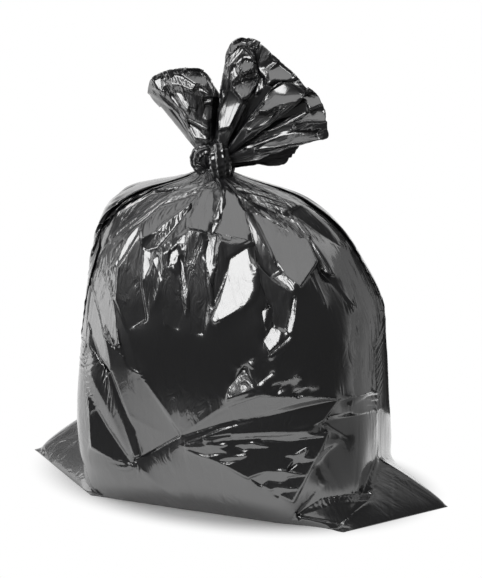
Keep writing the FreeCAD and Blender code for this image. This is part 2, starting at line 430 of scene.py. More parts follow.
def shell_from_grid(name: str, points: np.ndarray, thickness: float) -> bpy.types.Object:
    """A thin closed sheet from an open grid of points.

    Args:
        name: the piece's name.
        points: positions in millimetres, in rows and columns.
        thickness: the sheet's thickness in millimetres.

    Returns:
        The new object, at the origin.
    """
    normals = grid_normals(points, False) * (thickness / 2)
    rows, columns = points.shape[:2]
    index = np.arange(rows * columns).reshape(rows, columns)
    count = rows * columns
    sides = [(points + normals).reshape(-1, 3), (points - normals).reshape(-1, 3)]
    corners = [index[:-1, :-1], index[:-1, 1:], index[1:, 1:], index[1:, :-1]]
    front = np.stack(corners, axis=-1).reshape(-1, 4)
    back = front[:, ::-1] + count
    border = np.concatenate([index[0, :], index[1:, -1], index[-1, -2::-1], index[-2:0:-1, 0]])
    following = np.roll(border, -1)
    strip = np.stack([border + count, following + count, following, border], axis=-1)
    mesh = bpy.data.meshes.new(name)
    vertices = np.concatenate(sides) * MM
    mesh.from_pydata(vertices.tolist(), [], np.concatenate([front, back, strip]).tolist())
    places = film_places(points, False).reshape(-1, 4, 2)
    set_film_places(mesh, np.concatenate([places, places[:, ::-1]]).reshape(-1, 2))
    mesh.shade_smooth()
    mesh.update()
    return linked(name, mesh)


def dress(piece: bpy.types.Object) -> None:
    """Let a piece ride the bag and stand for its solid."""
    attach(piece, "root")
    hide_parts(NODE)


@dataclass(frozen=True)
class Level:
    """One level of the filled bag's outline, in millimetres; squareness 2 is an ellipse."""

    height: float
    width: float
    depth: float
    shift: float
    squareness: float


LEVELS = (
    Level(0, 412, 296, 24, 12.0),
    Level(22, 440, 320, 16, 6.5),
    Level(60, 460, 333, 9, 5.0),
    Level(100, 468, 338, 5, 4.2),
    Level(225, 460, 342, 4, 3.4),
    Level(305, 450, 326, 3, 2.9),
    Level(365, 418, 292, -8, 2.5),
    Level(413, 378, 238, -18, 2.3),
    Level(450, 314, 178, -26, 2.2),
    Level(476, 214, 110, -25, 2.0),
    Level(490, 104, 62, -23, 2.0),
    Level(502, 36, 34, -31, 2.0),
)


def noise(seed: int, rows: int, columns: int, cells: tuple[int, int], closed: bool) -> np.ndarray:
    """Smooth random heights between about -1 and 1, the same for the same seed."""
    heights = np.random.default_rng(seed).uniform(-1, 1, cells)
    return finer(heights[..., None], closed, rows, columns)[..., 0]


@dataclass(frozen=True)
class FilledBag:
    """The filled body of the bag, from its footprint on the floor to the neck, in millimetres.

    The ridges are the heights where the flat corners at the ends of the bottom seal meet the wall. The
    columns stand closer together on the side seen_from, in degrees around the bag.
    """

    flat_width: float = 706.0
    base_width: float = 412.0
    base_depth: float = 294.0
    base_shift: float = 24.0
    left_ridge: float = 100.0
    right_ridge: float = 66.0
    ridge_curve: float = 0.8
    hip_height: float = 100.0
    rows: int = 400
    columns: int = 720
    corner_steps: int = 12
    wall_steps: int = 90
    smoothing_rounds: int = 30
    floor_gap: float = 0.4
    seen_from: float = -70.0
    seen_share: float = 2.4

    def ring(self, angles: np.ndarray, height: np.ndarray) -> np.ndarray:
        """Points of the outline.

        Args:
            angles: the angle of each point around the bag.
            height: the height of each point, in millimetres.

        Returns:
            The points, in millimetres.
        """
        table = np.array([(level.width, level.depth, level.shift, level.squareness) for level in LEVELS])
        heights = np.array([level.height for level in LEVELS], float)
        read = curve_through(heights, table, height.ravel())
        width, depth, shift, power = (read[:, k].reshape(height.shape) for k in range(4))
        cosine, sine = np.cos(angles), np.sin(angles)
        reach = (np.abs(cosine) ** power + np.abs(sine) ** power) ** (-1 / power)
        return np.stack([shift + width / 2 * reach * cosine, depth / 2 * reach * sine, height], axis=-1)

    def even_angles(self, count: int) -> np.ndarray:
        """Angles that space the columns around the hip, closer together where the camera sees them.

        Args:
            count: how many columns there are.

        Returns:
            The angle of each column.
        """
        fine = np.linspace(0, 2 * math.pi, 4 * self.columns + 1)
        ring = self.ring(fine, np.full_like(fine, self.hip_height))
        step = np.linalg.norm(np.diff(ring, axis=0), axis=1)
        middle = 0.5 * (fine[1:] + fine[:-1])
        seen = np.clip(0.5 + 1.6 * np.cos(middle - math.radians(self.seen_from)), 0, 1)
        seen = seen * seen * (3 - 2 * seen)
        length = np.concatenate([[0], np.cumsum(step * (1 + self.seen_share * seen))])
        return np.interp(np.arange(count) / count * length[-1], length, fine)

    def footprint(self, angles: np.ndarray) -> tuple[np.ndarray, np.ndarray]:
        """The outline on the floor, with the flat corners at the ends of the bottom seal.

        Args:
            angles: the angle of each column.

        Returns:
            The outline's points, and each column's height where its corner meets the wall.
        """
        cosine, sine = np.cos(angles), np.sin(angles)
        largest = np.maximum(np.abs(cosine), np.abs(sine))
        across, back = cosine / largest, sine / largest
        side = np.abs(cosine) >= np.abs(sine)
        reach = self.flat_width / 2 - np.sign(cosine) * self.base_shift - self.base_width / 2
        x = self.base_shift + self.base_width / 2 * across
        x = x + np.where(side, np.sign(cosine) * reach * (1 - np.abs(back)), 0)
        ridge = np.where(cosine > 0, self.right_ridge, self.left_ridge)
        meet = np.where(side, ridge * (1 - np.abs(back)), 0)
        return np.stack([x, self.base_depth / 2 * back, np.full_like(x, self.floor_gap)], axis=-1), meet

    def smooth_surface(self) -> np.ndarray:
        """The filled bag without folds, as rows from the floor to the neck."""
        angles = self.even_angles(self.columns)
        start, meet = self.footprint(angles)
        top = LEVELS[-1].height
        wall_base = self.ring(angles, meet)
        wall_base[:, 2] = np.maximum(wall_base[:, 2], self.floor_gap)
        steps = []
        for part in np.linspace(0, 1, self.corner_steps + 1)[:-1]:
            point = start * (1 - part) + wall_base * part
            point[:, 2] = self.floor_gap + (wall_base[:, 2] - self.floor_gap) * part**self.ridge_curve
            steps.append(point)
        for part in np.linspace(0, 1, self.wall_steps):
            steps.append(self.ring(angles, meet + (top - meet) * part))
        path = np.stack(steps)
        lengths = np.linalg.norm(np.diff(path, axis=0), axis=-1)
        grid = np.empty((self.rows, self.columns, 3))
        for column in range(self.columns):
            walked = np.concatenate([[0], np.cumsum(lengths[:, column] + 1e-6)])
            wanted = np.linspace(0, walked[-1], self.rows)
            for axis in range(3):
                grid[:, column, axis] = np.interp(wanted, walked, path[:, column, axis])
        for _ in range(self.smoothing_rounds):
            around = 0.5 * (np.roll(grid, 1, axis=1) + np.roll(grid, -1, axis=1))
            grid[1:-1] += 0.5 * (0.25 * (grid[:-2] + grid[2:]) + 0.5 * around[1:-1] - grid[1:-1])
            grid[..., 2] = np.maximum(grid[..., 2], self.floor_gap)
        return grid


class Sees(Enum):
    """What a flat of film mirrors into the camera: degrees right of the front, and up."""

    KEY = (-24.0, 40.0)
    TABLE = (-20.0, -42.0)
    ROOM = (2.0, 14.0)
    TOP = (-20.0, 76.0)
    LEFT = (-80.0, 6.0)

    def way(self) -> np.ndarray:
        """The direction from the bag."""
        return direction(*self.value)


@dataclass(frozen=True)
class Flat:
    """A flat facet of the crumpled film, drawn over the photograph in pixels."""

    sees: Sees
    outline: tuple[tuple[float, float], ...]

    def covers(self, columns: np.ndarray, rows: np.ndarray) -> np.ndarray:
        """Which pixels lie in the facet.

        Args:
            columns: each pixel's column.
            rows: each pixel's row.

        Returns:
            True for each pixel inside the outline.
        """
        inside = np.zeros(columns.shape, bool)
        corners = np.array(self.outline, float)
        for (x0, y0), (x1, y1) in zip(corners, np.roll(corners, -1, axis=0)):
            if y0 == y1:
                continue
            crosses = (rows < y0) != (rows < y1)
            inside ^= crosses & (columns < x0 + (rows - y0) * (x1 - x0) / (y1 - y0))
        return inside


# The facets of the body, where later ones lie over earlier ones.
BODY_FLATS = (
    Flat(Sees.KEY, ((142, 219), (137, 237), (129.5, 250), (116.5, 268), (115, 264), (125, 242))),
    Flat(Sees.KEY, ((126, 239), (120, 242), (112, 252), (110, 269), (114, 263), (121, 250))),
    Flat(Sees.KEY, ((143, 252), (152, 252), (151, 267), (141.5, 284))),
    Flat(Sees.KEY, ((155, 252), (160, 257), (163, 268), (162, 283), (159, 275), (152, 261))),
    Flat(Sees.KEY, ((188.5, 229), (194, 243.5), (175, 246))),
    Flat(Sees.KEY, ((168, 255), (178, 247), (181, 259), (175, 265), (168, 268))),
    Flat(Sees.KEY, ((179, 256), (184, 262), (188, 290), (187, 310), (182, 300), (180, 275))),
    Flat(Sees.KEY, ((207, 232), (216.5, 236), (212, 267), (210, 288), (205, 267), (203.5, 255))),
    Flat(
        Sees.KEY,
        (
            (247.5, 246), (253, 281), (251, 300), (236, 307), (224, 318.5), (214, 324), (211, 320),
            (218.5, 301), (225, 278), (228, 259.5),
        ),
    ),
    Flat(Sees.KEY, ((273, 277), (281.5, 272.5), (295.5, 293))),
    Flat(Sees.KEY, ((292, 298), (296, 295), (294.5, 316), (290.5, 336), (286.5, 331), (290, 312))),
    Flat(Sees.KEY, ((290, 334), (292, 338), (270, 358), (267, 355))),
    Flat(Sees.KEY, ((260, 310), (270.5, 306), (268, 316), (264.5, 328), (262, 322))),
    Flat(Sees.KEY, ((271, 326), (280, 329), (277.5, 344), (269, 353), (262, 341))),
    Flat(
        Sees.KEY,
        ((307.5, 237), (315, 245), (325, 260), (335, 276), (320, 273), (314, 258), (310, 247)),
    ),
    Flat(Sees.KEY, ((319, 272), (322, 271), (357, 307), (354, 307))),
    Flat(Sees.KEY, ((309, 272), (312, 274), (327, 306), (324, 306))),
    Flat(
        Sees.KEY,
        ((244.6, 366), (249, 374), (256.5, 388), (243, 394), (226, 400.5), (228, 388), (237, 375)),
    ),
    Flat(Sees.KEY, ((246, 361.6), (253.4, 358.2), (252.5, 368))),
    Flat(Sees.KEY, ((256, 383.5), (273, 370.5), (275, 374.8), (258, 388.5))),
    Flat(
        Sees.ROOM,
        ((188, 229), (203, 232), (203, 255), (207, 292), (203, 335), (190, 335), (188, 290), (184, 260)),
    ),
    Flat(
        Sees.ROOM,
        ((163, 254), (170, 250), (168, 268), (178, 275), (184, 312), (178, 330), (164, 325), (162, 284)),
    ),
    Flat(
        Sees.ROOM,
        ((118, 268), (128, 252), (140, 232), (143, 250), (140, 284), (146, 320), (128, 330), (116, 300)),
    ),
    Flat(
        Sees.TOP,
        ((202, 180), (150, 189), (114, 209), (98, 223), (97, 230), (121, 208), (153, 191), (200, 183)),
    ),
    Flat(
        Sees.TOP,
        ((205, 184), (182, 188), (152, 193), (122, 210), (100, 228), (96, 262), (110, 240), (158, 200)),
    ),
    Flat(Sees.TOP, ((226, 188), (245.5, 211), (248.3, 243), (226, 236.5), (213, 233), (220, 221))),
    Flat(
        Sees.TOP,
        ((248, 205), (272, 219), (300, 238), (306, 236), (318, 262), (300, 288), (281, 268), (266, 240)),
    ),
    Flat(
        Sees.TOP,
        (
            (203, 187), (212, 192), (214, 199), (210, 216), (207.6, 232.4), (188, 229), (160, 249),
            (170, 224),
        ),
    ),
    Flat(Sees.TOP, ((195, 191), (160, 204), (143, 219), (143, 240), (150, 236), (168, 219), (196, 197))),
    Flat(
        Sees.ROOM,
        (
            (214, 181), (178, 194), (156, 203), (141, 216), (114, 236), (115, 240), (142, 222),
            (160, 206), (192, 195),
        ),
    ),
    Flat(Sees.ROOM, ((190, 203), (166, 221), (143, 243), (146, 251), (157, 249), (174, 229), (191, 207))),
    Flat(Sees.ROOM, ((222, 190), (214, 213), (208.5, 233), (213, 234), (219, 221), (225, 202))),
    Flat(Sees.ROOM, ((234, 192), (248, 200), (272, 219), (255, 213), (243, 206))),
    Flat(Sees.ROOM, ((236, 188), (276, 195), (312, 214), (330, 232), (300, 216), (262, 200))),
    Flat(
        Sees.KEY,
        (
            (177, 181), (153, 187), (136, 195.6), (121, 205.5), (98, 221), (98, 223.6),
            (122, 208.4), (154, 190.2),
        ),
    ),
    Flat(
        Sees.KEY,
        (
            (181, 188.4), (158.5, 198.4), (140, 213), (122, 226.5), (110, 238), (111, 241),
            (141, 216), (160, 201.6),
        ),
    ),
    Flat(
        Sees.KEY,
        (
            (234, 186), (262, 191.5), (290, 201), (312, 213), (310, 216), (288, 205), (261, 195.4),
            (236, 189.6),
        ),
    ),
    Flat(Sees.KEY, ((252, 197.6), (288, 209), (286, 212.8), (252, 201.2))),
    Flat(Sees.KEY, ((280, 212), (300, 221), (309, 234), (306, 238), (298, 225.5), (279, 215.4))),
    Flat(Sees.ROOM, ((246, 211), (256, 228), (281, 271), (272, 277), (254, 259), (250, 237))),
    Flat(Sees.ROOM, ((300, 206), (316, 214), (342, 240), (338, 246), (312, 228), (290, 212))),
    Flat(Sees.ROOM, ((219, 240), (246, 246), (227, 259), (224, 279), (213, 308), (211, 290), (214, 262))),
    Flat(
        Sees.ROOM,
        ((254, 262), (272, 279), (293, 294), (289, 312), (286, 331), (271, 322), (272, 304), (257, 282)),
    ),
    Flat(
        Sees.TABLE,
        ((87, 300), (100, 330), (120, 352), (134, 364), (180, 436), (134, 462), (106, 372), (85, 340)),
    ),
    Flat(Sees.ROOM, ((87.5, 393), (91, 447), (107, 456.5), (133.5, 465.5), (107.5, 428))),
    Flat(Sees.ROOM, ((107, 373), (111, 372), (122, 402), (134, 430), (140, 456), (134, 458), (121, 417))),
    Flat(
        Sees.TABLE,
        ((182, 437), (216, 412), (258, 396), (340, 395), (300, 404), (240, 420), (220, 425)),
    ),
    Flat(Sees.ROOM, ((184, 444), (220, 430), (300, 408), (340, 398), (323, 423), (287, 431), (220, 436))),
    Flat(Sees.TABLE, ((341, 399), (375, 389), (349, 403), (353, 412), (336, 417), (323, 424))),
    Flat(
        Sees.ROOM,
        ((186, 451), (222, 440), (287, 436), (330, 432), (318, 458), (293, 503), (262, 486), (222, 464)),
    ),
    Flat(Sees.ROOM, ((297, 517), (332, 506), (371, 497), (341, 525))),
    Flat(
        Sees.TABLE,
        (
            (322, 423), (377, 410), (377, 462), (368, 494), (322, 501), (297, 517), (326, 485), (317, 467),
            (331, 451), (349, 439),
        ),
    ),
    Flat(Sees.TABLE, ((262, 441), (284, 436), (306, 433), (324, 436), (300, 439), (284, 442.5))),
    Flat(
        Sees.TABLE,
        ((286, 458), (298, 454), (308, 449), (304, 457), (314, 459), (298, 464), (288, 470), (294, 461)),
    ),
    Flat(Sees.TABLE, ((270, 386), (284, 380), (301, 374), (292, 383), (276, 392), (282, 385))),
    Flat(Sees.TABLE, ((292, 392), (303, 386), (318, 383), (306, 390), (298, 397))),
    Flat(
        Sees.TABLE,
        ((183, 446.5), (204, 446), (228, 444), (218, 449), (226, 453), (205, 455.5), (196, 452)),
    ),
    Flat(Sees.TABLE, ((220, 461), (232, 456.5), (247, 455), (238, 460), (228, 463))),
    Flat(
        Sees.TABLE,
        ((250, 478), (264, 473), (281, 470), (304, 475), (288, 477), (282, 483), (268, 481), (262, 486)),
    ),
    Flat(Sees.TABLE, ((236, 447), (252, 443), (268, 447), (254, 448), (244, 451))),
    Flat(Sees.TABLE, ((270, 492), (280, 487), (296, 489), (284, 492), (278, 497))),
    Flat(Sees.KEY, ((203, 438), (231, 434.4), (231, 437.4), (204, 441))),
    Flat(
        Sees.LEFT,
        ((90, 270), (100, 268), (110, 290), (121, 326), (126, 345), (113, 346), (104, 320), (95, 295)),
    ),
    Flat(Sees.LEFT, ((85, 292), (89, 276), (96, 305), (106, 345), (111, 372), (100, 356), (87, 318))),
    Flat(Sees.ROOM, ((111, 292), (118, 306), (131, 345), (139, 372), (128, 366), (120, 340))),
)


class Relief:
    """The rise of the crumpled film towards the camera that lets its flats face as they are drawn.

    The rise is solved on a grid over the photograph, with a few cells to a pixel's side: its slopes match
    the flats' slopes as well as they can, the film may step along a flat's rim, and away from the flats
    it stays low. Slopes are millimetres of rise to a millimetre across.
    """

    cells = 2
    margin = 16
    plain_weight = 0.3
    rim_weight = 0.05
    flat_weight = 6.0
    rim_reach = 0.02
    steepest_key = 1.6
    steepest = 0.95
    edge_fade = 150
    rounds = 520

    def __init__(self, smooth: np.ndarray, flats: tuple[Flat, ...], closed: bool, reach: float) -> None:
        """Prepare the smooth film's slopes and the flats' slopes.

        Args:
            smooth: the smooth surface's points in rows and columns, in millimetres.
            flats: the flats, of which later ones lie over earlier ones.
            closed: whether the surface's last column joins its first.
            reach: how far the rise runs out beside a flat, in millimetres.
        """
        self.smooth = smooth
        self.right, self.up, self.back = VIEW.axes()
        corners = np.concatenate([np.array(flat.outline, float) for flat in flats])
        self.corner = np.floor(corners.min(axis=0)).astype(int) - self.margin
        far_corner = np.ceil(corners.max(axis=0)).astype(int) + self.margin
        self.width, self.height = (far_corner - self.corner) * self.cells
        self.step = VIEW.mm_per_pixel / self.cells
        normals = grid_normals(smooth, closed)
        normals = normals * np.where((normals @ self.back).mean() < 0 and not closed, -1.0, 1.0)
        self.facing = normals @ self.back
        base = self.base_slopes(normals)
        turned = np.clip((0.55 - 1 / np.sqrt(1 + (base**2).sum(axis=-1))) / 0.3, 0, 1)
        self.fade = (self.step / reach) ** 2 * (1 + self.edge_fade * turned**2)
        self.slope = np.zeros((self.height, self.width, 2))
        self.weight = np.full((self.height, self.width), self.plain_weight)
        self.drawn = np.zeros((self.height, self.width))
        rows, columns = np.mgrid[0 : self.height, 0 : self.width].astype(float)
        pixels = (columns / self.cells + self.corner[0], rows / self.cells + self.corner[1])
        for flat in flats:
            self.draw(flat, flat.covers(*pixels), base)

    def draw(self, flat: Flat, inside: np.ndarray, base: np.ndarray) -> None:
        """Lay one flat over the grid: it leans half way between the camera and what it mirrors.

        Args:
            flat: the flat.
            inside: which pixels lie in it.
            base: the smooth surface's slopes at each pixel.
        """
        half = self.back + flat.sees.way()
        half /= np.linalg.norm(half)
        aim = np.array([half @ self.right, half @ self.up]) / (half @ self.back)
        lean = aim - base
        size = np.linalg.norm(lean, axis=-1, keepdims=True)
        most = self.steepest_key if flat.sees is Sees.KEY else self.steepest
        lean = lean * np.minimum(1, most / np.maximum(size, 1e-6))
        rim = self.blurred(inside.astype(float)[..., None])[..., 0] > self.rim_reach
        self.weight = np.where(rim & ~inside, self.rim_weight, self.weight)
        self.drawn = np.where(inside, 1.0, self.drawn)
        self.weight = np.where(inside, self.flat_weight, self.weight)
        self.slope = np.where(inside[..., None], -lean, self.slope)

    def base_slopes(self, normals: np.ndarray) -> np.ndarray:
        """How the smooth surface slopes at each pixel.

        Args:
            normals: the surface's normals at its points.

        Returns:
            Each pixel's slopes to the right and up.
        """
        seen = self.facing > 0.12
        place = np.round((VIEW.pixels(self.smooth)[seen] - self.corner) * self.cells).astype(int)
        known = (place >= 0).all(axis=1) & (place < [self.width, self.height]).all(axis=1)
        total = np.zeros((self.height, self.width, 4))
        found = np.concatenate([normals[seen], np.ones((len(place), 1))], axis=1)
        np.add.at(total, (place[known, 1], place[known, 0]), found[known])
        for _ in range(10):
            total = self.blurred(total)
        bare = total[..., 3:] < 1e-3
        normal = np.where(bare, self.back, total[..., :3] / np.maximum(total[..., 3:], 1e-3))
        normal /= np.maximum(np.linalg.norm(normal, axis=-1, keepdims=True), 1e-6)
        facing = np.maximum(normal @ self.back, 0.25)
        return np.stack([normal @ self.right, normal @ self.up], axis=-1) / facing[..., None]

    @staticmethod
    def blurred(values: np.ndarray) -> np.ndarray:
        """Values averaged with their neighbours."""
        for axis in (0, 1):
            values = 0.5 * values + 0.25 * (np.roll(values, 1, axis=axis) + np.roll(values, -1, axis=axis))
        return values

    def spread(self, across: np.ndarray, down: np.ndarray) -> np.ndarray:
        """Add up, at each pixel, what is given on the links to its neighbours.

        Args:
            across: a value for each link to the pixel on the left.
            down: a value for each link to the pixel above.

        Returns:
            The sum at each pixel.
        """
        result = np.zeros((self.height, self.width))
        result[:, 1:] += across
        result[:, :-1] -= across
        result[1:] += down
        result[:-1] -= down
        return result

    def solved(self) -> np.ndarray:
        """The rise at each pixel, in millimetres, by conjugate gradients."""
        across = np.minimum(self.weight[:, 1:], self.weight[:, :-1])
        down = np.minimum(self.weight[1:], self.weight[:-1])
        left = self.spread(
            0.5 * (self.slope[:, 1:, 0] + self.slope[:, :-1, 0]) * self.step * across,
            -0.5 * (self.slope[1:, :, 1] + self.slope[:-1, :, 1]) * self.step * down,
        )
        scale = self.fade.copy()
        scale[:, 1:] += across
        scale[:, :-1] += across
        scale[1:] += down
        scale[:-1] += down
        rise = np.zeros_like(left)
        way = left / scale
        size = (left * way).sum()
        for _ in range(self.rounds):
            pulled = self.fade * way
            pulled += self.spread((way[:, 1:] - way[:, :-1]) * across, (way[1:] - way[:-1]) * down)
            share = size / (way * pulled).sum()
            rise += share * way
            left -= share * pulled
            eased = left / scale
            fresh = (left * eased).sum()
            way = eased + (fresh / size) * way
            size = fresh
        return self.blurred(rise[..., None])[..., 0]

    def at(self, values: np.ndarray) -> np.ndarray:
        """Read values of the pixels at the points of the surface.

        Args:
            values: a value for each pixel.

        Returns:
            A value for each point.
        """
        pixels = (VIEW.pixels(self.smooth) - self.corner) * self.cells
        x = np.clip(pixels[..., 0], 0, self.width - 1.001)
        y = np.clip(pixels[..., 1], 0, self.height - 1.001)
        left, top = x.astype(int), y.astype(int)
        x, y = x - left, y - top
        upper = values[top, left] * (1 - x) + values[top, left + 1] * x
        lower = values[top + 1, left] * (1 - x) + values[top + 1, left + 1] * x
        return upper * (1 - y) + lower * y

    def lifted(self, limit: float) -> tuple[np.ndarray, np.ndarray]:
        """The surface with its flats, and how firmly each of its points is drawn, from 0 to 1.

        Args:
            limit: how far the rise may go either way, in millimetres.

        Returns:
            The surface's points, and the share of each point that follows the drawing.
        """
        rise = self.at(self.solved())
        rise /= (1 + (rise / limit) ** 4) ** 0.25
        rise = rise * np.clip((self.facing - 0.22) * 3.2, 0, 1)
        drawn = self.blurred(self.blurred(self.drawn[..., None]))[..., 0]
        firm = self.at(drawn) * np.clip(self.facing * 3, 0, 1)
        return self.smooth + self.back * rise[..., None], firm


@dataclass(frozen=True)
class Crease:
    """A fold line seen in the photograph, raised or sunk on the film that faces the camera.

    Points are pixels of the photograph, and sizes are millimetres: height is how far the film rises
    along the line, and width how far out the rise fades.
    """

    points: tuple[tuple[float, float], ...]
    height: float
    width: float

    def rise(self, pixels: np.ndarray) -> np.ndarray:
        """How far the film rises for this crease.

        Args:
            pixels: where each point of the film shows in the photograph.

        Returns:
            The rise of each point, in millimetres.
        """
        line = np.array(self.points, float)
        nearest = np.full(pixels.shape[:-1], 1e9)
        along = np.zeros(nearest.shape)
        total = len(line) - 1
        for index in range(total):
            start, step = line[index], line[index + 1] - line[index]
            part = np.clip(((pixels - start) @ step) / (step @ step), 0, 1)
            gap = np.linalg.norm(pixels - start - part[..., None] * step, axis=-1)
            closer = gap < nearest
            nearest = np.where(closer, gap, nearest)
            along = np.where(closer, (index + part) / total, along)
        reach = nearest * VIEW.mm_per_pixel / self.width
        ends = np.clip(4 * np.minimum(along, 1 - along) + 0.25, 0, 1)
        return self.height * ends * np.exp(-np.sqrt(reach**2 + 0.02) * 1.6)


# The fold lines of the body, each with its height and width.
BODY_CREASES = (
    Crease(((182, 184), (140, 198), (96, 222)), 7, 12),
    Crease(((211, 184), (175, 197), (139, 214)), -8, 10),
    Crease(((164, 193), (135, 212), (110, 240)), 7, 12),
    Crease(((197, 195), (168, 218), (144, 249)), -8, 11),
    Crease(((205, 192), (196, 222), (188, 250)), 5, 14),
    Crease(((223, 192), (217, 212), (209, 235)), -9, 11),
    Crease(((229, 192), (236, 215), (240, 245)), 6, 14),
    Crease(((232, 185), (298, 203), (347, 245)), 6, 11),
    Crease(((246, 195), (287, 208), (318, 232)), 6, 9),
    Crease(((232, 188), (285, 214), (340, 246)), -9, 12),
    Crease(((240, 200), (262, 222), (284, 236), (307, 236)), -6, 10),
    Crease(((246, 212), (254, 240), (262, 258), (281, 273)), -8, 10),
    Crease(((253, 250), (262, 268), (273, 279)), 7, 8),
    Crease(((295, 262), (295, 293), (290, 337), (267, 356)), 8, 12),
    Crease(((256, 283), (270, 304), (263, 337), (270, 353)), -7, 9),
    Crease(((248, 247), (252, 290), (240, 310), (211, 323)), 7, 11),
    Crease(((226, 232), (227, 259), (218, 290), (208, 318)), -7, 11),
    Crease(((205, 232), (207, 262), (211, 300), (211, 322)), 6, 9),
    Crease(((186, 230), (178, 246), (172, 264), (186, 310)), 7, 10),
    Crease(((143, 250), (152, 262), (163, 252), (160, 290), (151, 312)), 7, 9),
    Crease(((139, 222), (124, 245), (112, 270)), 6, 9),
    Crease(((284, 236), (309, 236), (330, 262), (356, 306)), 6, 12),
    Crease(((309, 273), (318, 290), (325, 306)), 5, 8),
    Crease(((356, 285), (358, 320), (352, 352)), -7, 14),
    Crease(((230, 360), (250, 378), (280, 400)), 6, 12),
    Crease(((265, 320), (276, 332), (280, 348)), 6, 7),
    Crease(((86, 365), (106, 405), (133, 463)), 7, 13),
    Crease(((118, 407), (130, 416), (145, 425), (170, 437)), 5, 9),
    Crease(((132, 353), (150, 390), (179, 433)), 6, 13),
    Crease(((179, 442), (216, 418), (260, 396), (340, 397)), 7, 12),
    Crease(((179, 445), (240, 423), (340, 398)), -6, 11),
    Crease(((133, 463), (158, 484), (188, 508)), 5, 12),
    Crease(((322, 423), (341, 401), (373, 390)), 6, 10),
    Crease(((240, 435), (287, 434), (334, 425), (381, 407)), 5, 10),
    Crease(((295, 430), (320, 452), (345, 500)), 4, 9),
)


@dataclass(frozen=True)
class Stage:
    """One stage of relaxing a sheet, on a grid with one point for every few of the full grid's."""

    share: int
    rounds: int
    crumple: float
    bend: float


@dataclass(frozen=True)
class Pleat:
    """A wave of gathers around the neck: how many, how deep as a share, and where it starts."""

    count: float
    size: float
    start: float


@dataclass(frozen=True)
class BagBody:
    """The film of the filled bag, folded and creased over its smooth shape.

    Lengths are millimetres. The flats rise at most relief_limit and run out over relief_reach.
    """

    name: str = "bag_body"
    shape: FilledBag = FilledBag()
    stages: tuple[Stage, ...] = (
        Stage(16, 160, 9.0, 0.02),
        Stage(8, 160, 5.0, 0.03),
        Stage(4, 120, 2.2, 0.04),
        Stage(2, 60, 0.7, 0.05),
    )
    pleats: tuple[Pleat, ...] = (Pleat(17, 0.55, 0.1), Pleat(23, 0.45, 0.7), Pleat(11, 0.4, 0.3))
    pleat_height: float = 6.0
    crease_share: float = 0.45
    relief_reach: float = 34.0
    relief_limit: float = 22.0
    noise_seed: int = 100
    fill: float = 0.7

    def film(self) -> np.ndarray:
        """The film's points in rows from the floor to the neck, in millimetres."""
        smooth = self.shape.smooth_surface()
        normals = grid_normals(smooth, True)
        facing = np.clip(normals @ VIEW.axes()[2] * 3, 0, 1)
        pixels = VIEW.pixels(smooth)
        creases = sum(crease.rise(pixels) for crease in BODY_CREASES) * facing * self.crease_share
        relief = Relief(smooth, BODY_FLATS, True, self.relief_reach)
        lifted, firm = relief.lifted(self.relief_limit)
        goal = lifted + normals * (creases * (1 - 0.7 * firm))[..., None]
        film = None
        for stage in self.stages:
            film = self.relaxed(film, stage, smooth, goal, firm)
        film = finer(film, True, self.shape.rows, self.shape.columns)
        film += (goal - film) * (0.9 * firm)[..., None]
        film[..., 2] = np.maximum(film[..., 2], self.shape.floor_gap)
        return film

    def relaxed(
        self, film: np.ndarray | None, stage: Stage, smooth: np.ndarray, goal: np.ndarray, firm: np.ndarray
    ) -> np.ndarray:
        """Relax the film once, from the last stage's film or from the first pleats.

        Args:
            film: the last stage's film, or None at the first stage.
            stage: how finely the film is relaxed.
            smooth: the bag without folds, on the full grid.
            goal: the bag with its flats and creases, on the full grid.
            firm: the share of each point that follows its flat.

        Returns:
            The film on the stage's grid.
        """
        rows, columns = self.shape.rows // stage.share, self.shape.columns // stage.share
        goal = sampled(goal, True, rows, columns)
        firm = sampled(firm, True, rows, columns)
        plain = sampled(smooth, True, rows, columns)
        height = plain[..., 2] / LEVELS[-1].height
        near_top = np.clip((height - 0.55) / 0.45, 0, 1)
        low = np.clip(plain[..., 2] / 14, 0, 1)
        normals = grid_normals(goal, True)
        if film is None:
            turn = np.arange(columns) / columns
            pleats = sum(
                pleat.size * np.sin(2 * math.pi * (pleat.count * turn + pleat.start))
                for pleat in self.pleats
            )
            rise = self.pleat_height * pleats * near_top**1.2 * (1 - firm)
            film = goal + normals * rise[..., None]
        else:
            film = finer(film, True, rows, columns)
        cells = (max(4, rows // 5), max(6, columns // 5))
        bumps = noise(self.noise_seed + stage.share, rows, columns, cells, True) * stage.crumple
        bumps *= (0.35 + 0.65 * low) * (1 - 0.8 * near_top) * (1 - 0.9 * firm)
        film = film + normals * bumps[..., None]
        film[0], film[-1] = goal[0], goal[-1]
        # the tube is as wide all the way up, so the narrower the bag, the more film it has to spare
        along = np.linalg.norm(np.roll(plain, -1, axis=1) - plain, axis=-1)
        across = np.linalg.norm(np.diff(plain, axis=0), axis=-1)
        ring = along.sum(axis=1, keepdims=True)
        spare = np.clip(0.55 * (2 * self.shape.flat_width / ring - 1), 0.012, 0.42)
        hold = np.full((rows, columns), 0.02) + 0.08 * (1 - near_top)
        hold[0] = 1
        hold[-1] = 1
        # millimetres the film may leave its goal: most under the neck, little on a flat or at the floor
        inside = (6 + 9 * near_top) * (1 - 0.8 * firm) * (0.3 + 0.7 * low)
        outside = (1.5 + 4 * near_top) * (1 - 0.6 * firm) * (0.2 + 0.8 * low)
        sheet = Film(goal, True, along * (1 + spare), across * 1.012, hold, inside, outside, stage.bend)
        return sheet.relax(film, stage.rounds)

    def build(self, material: bpy.types.Material) -> bpy.types.Object:
        """The body as one padded piece."""
        piece = body_from_rings(self.name, self.film())
        piece.data.materials.append(material)
        dress(piece)
        return piece


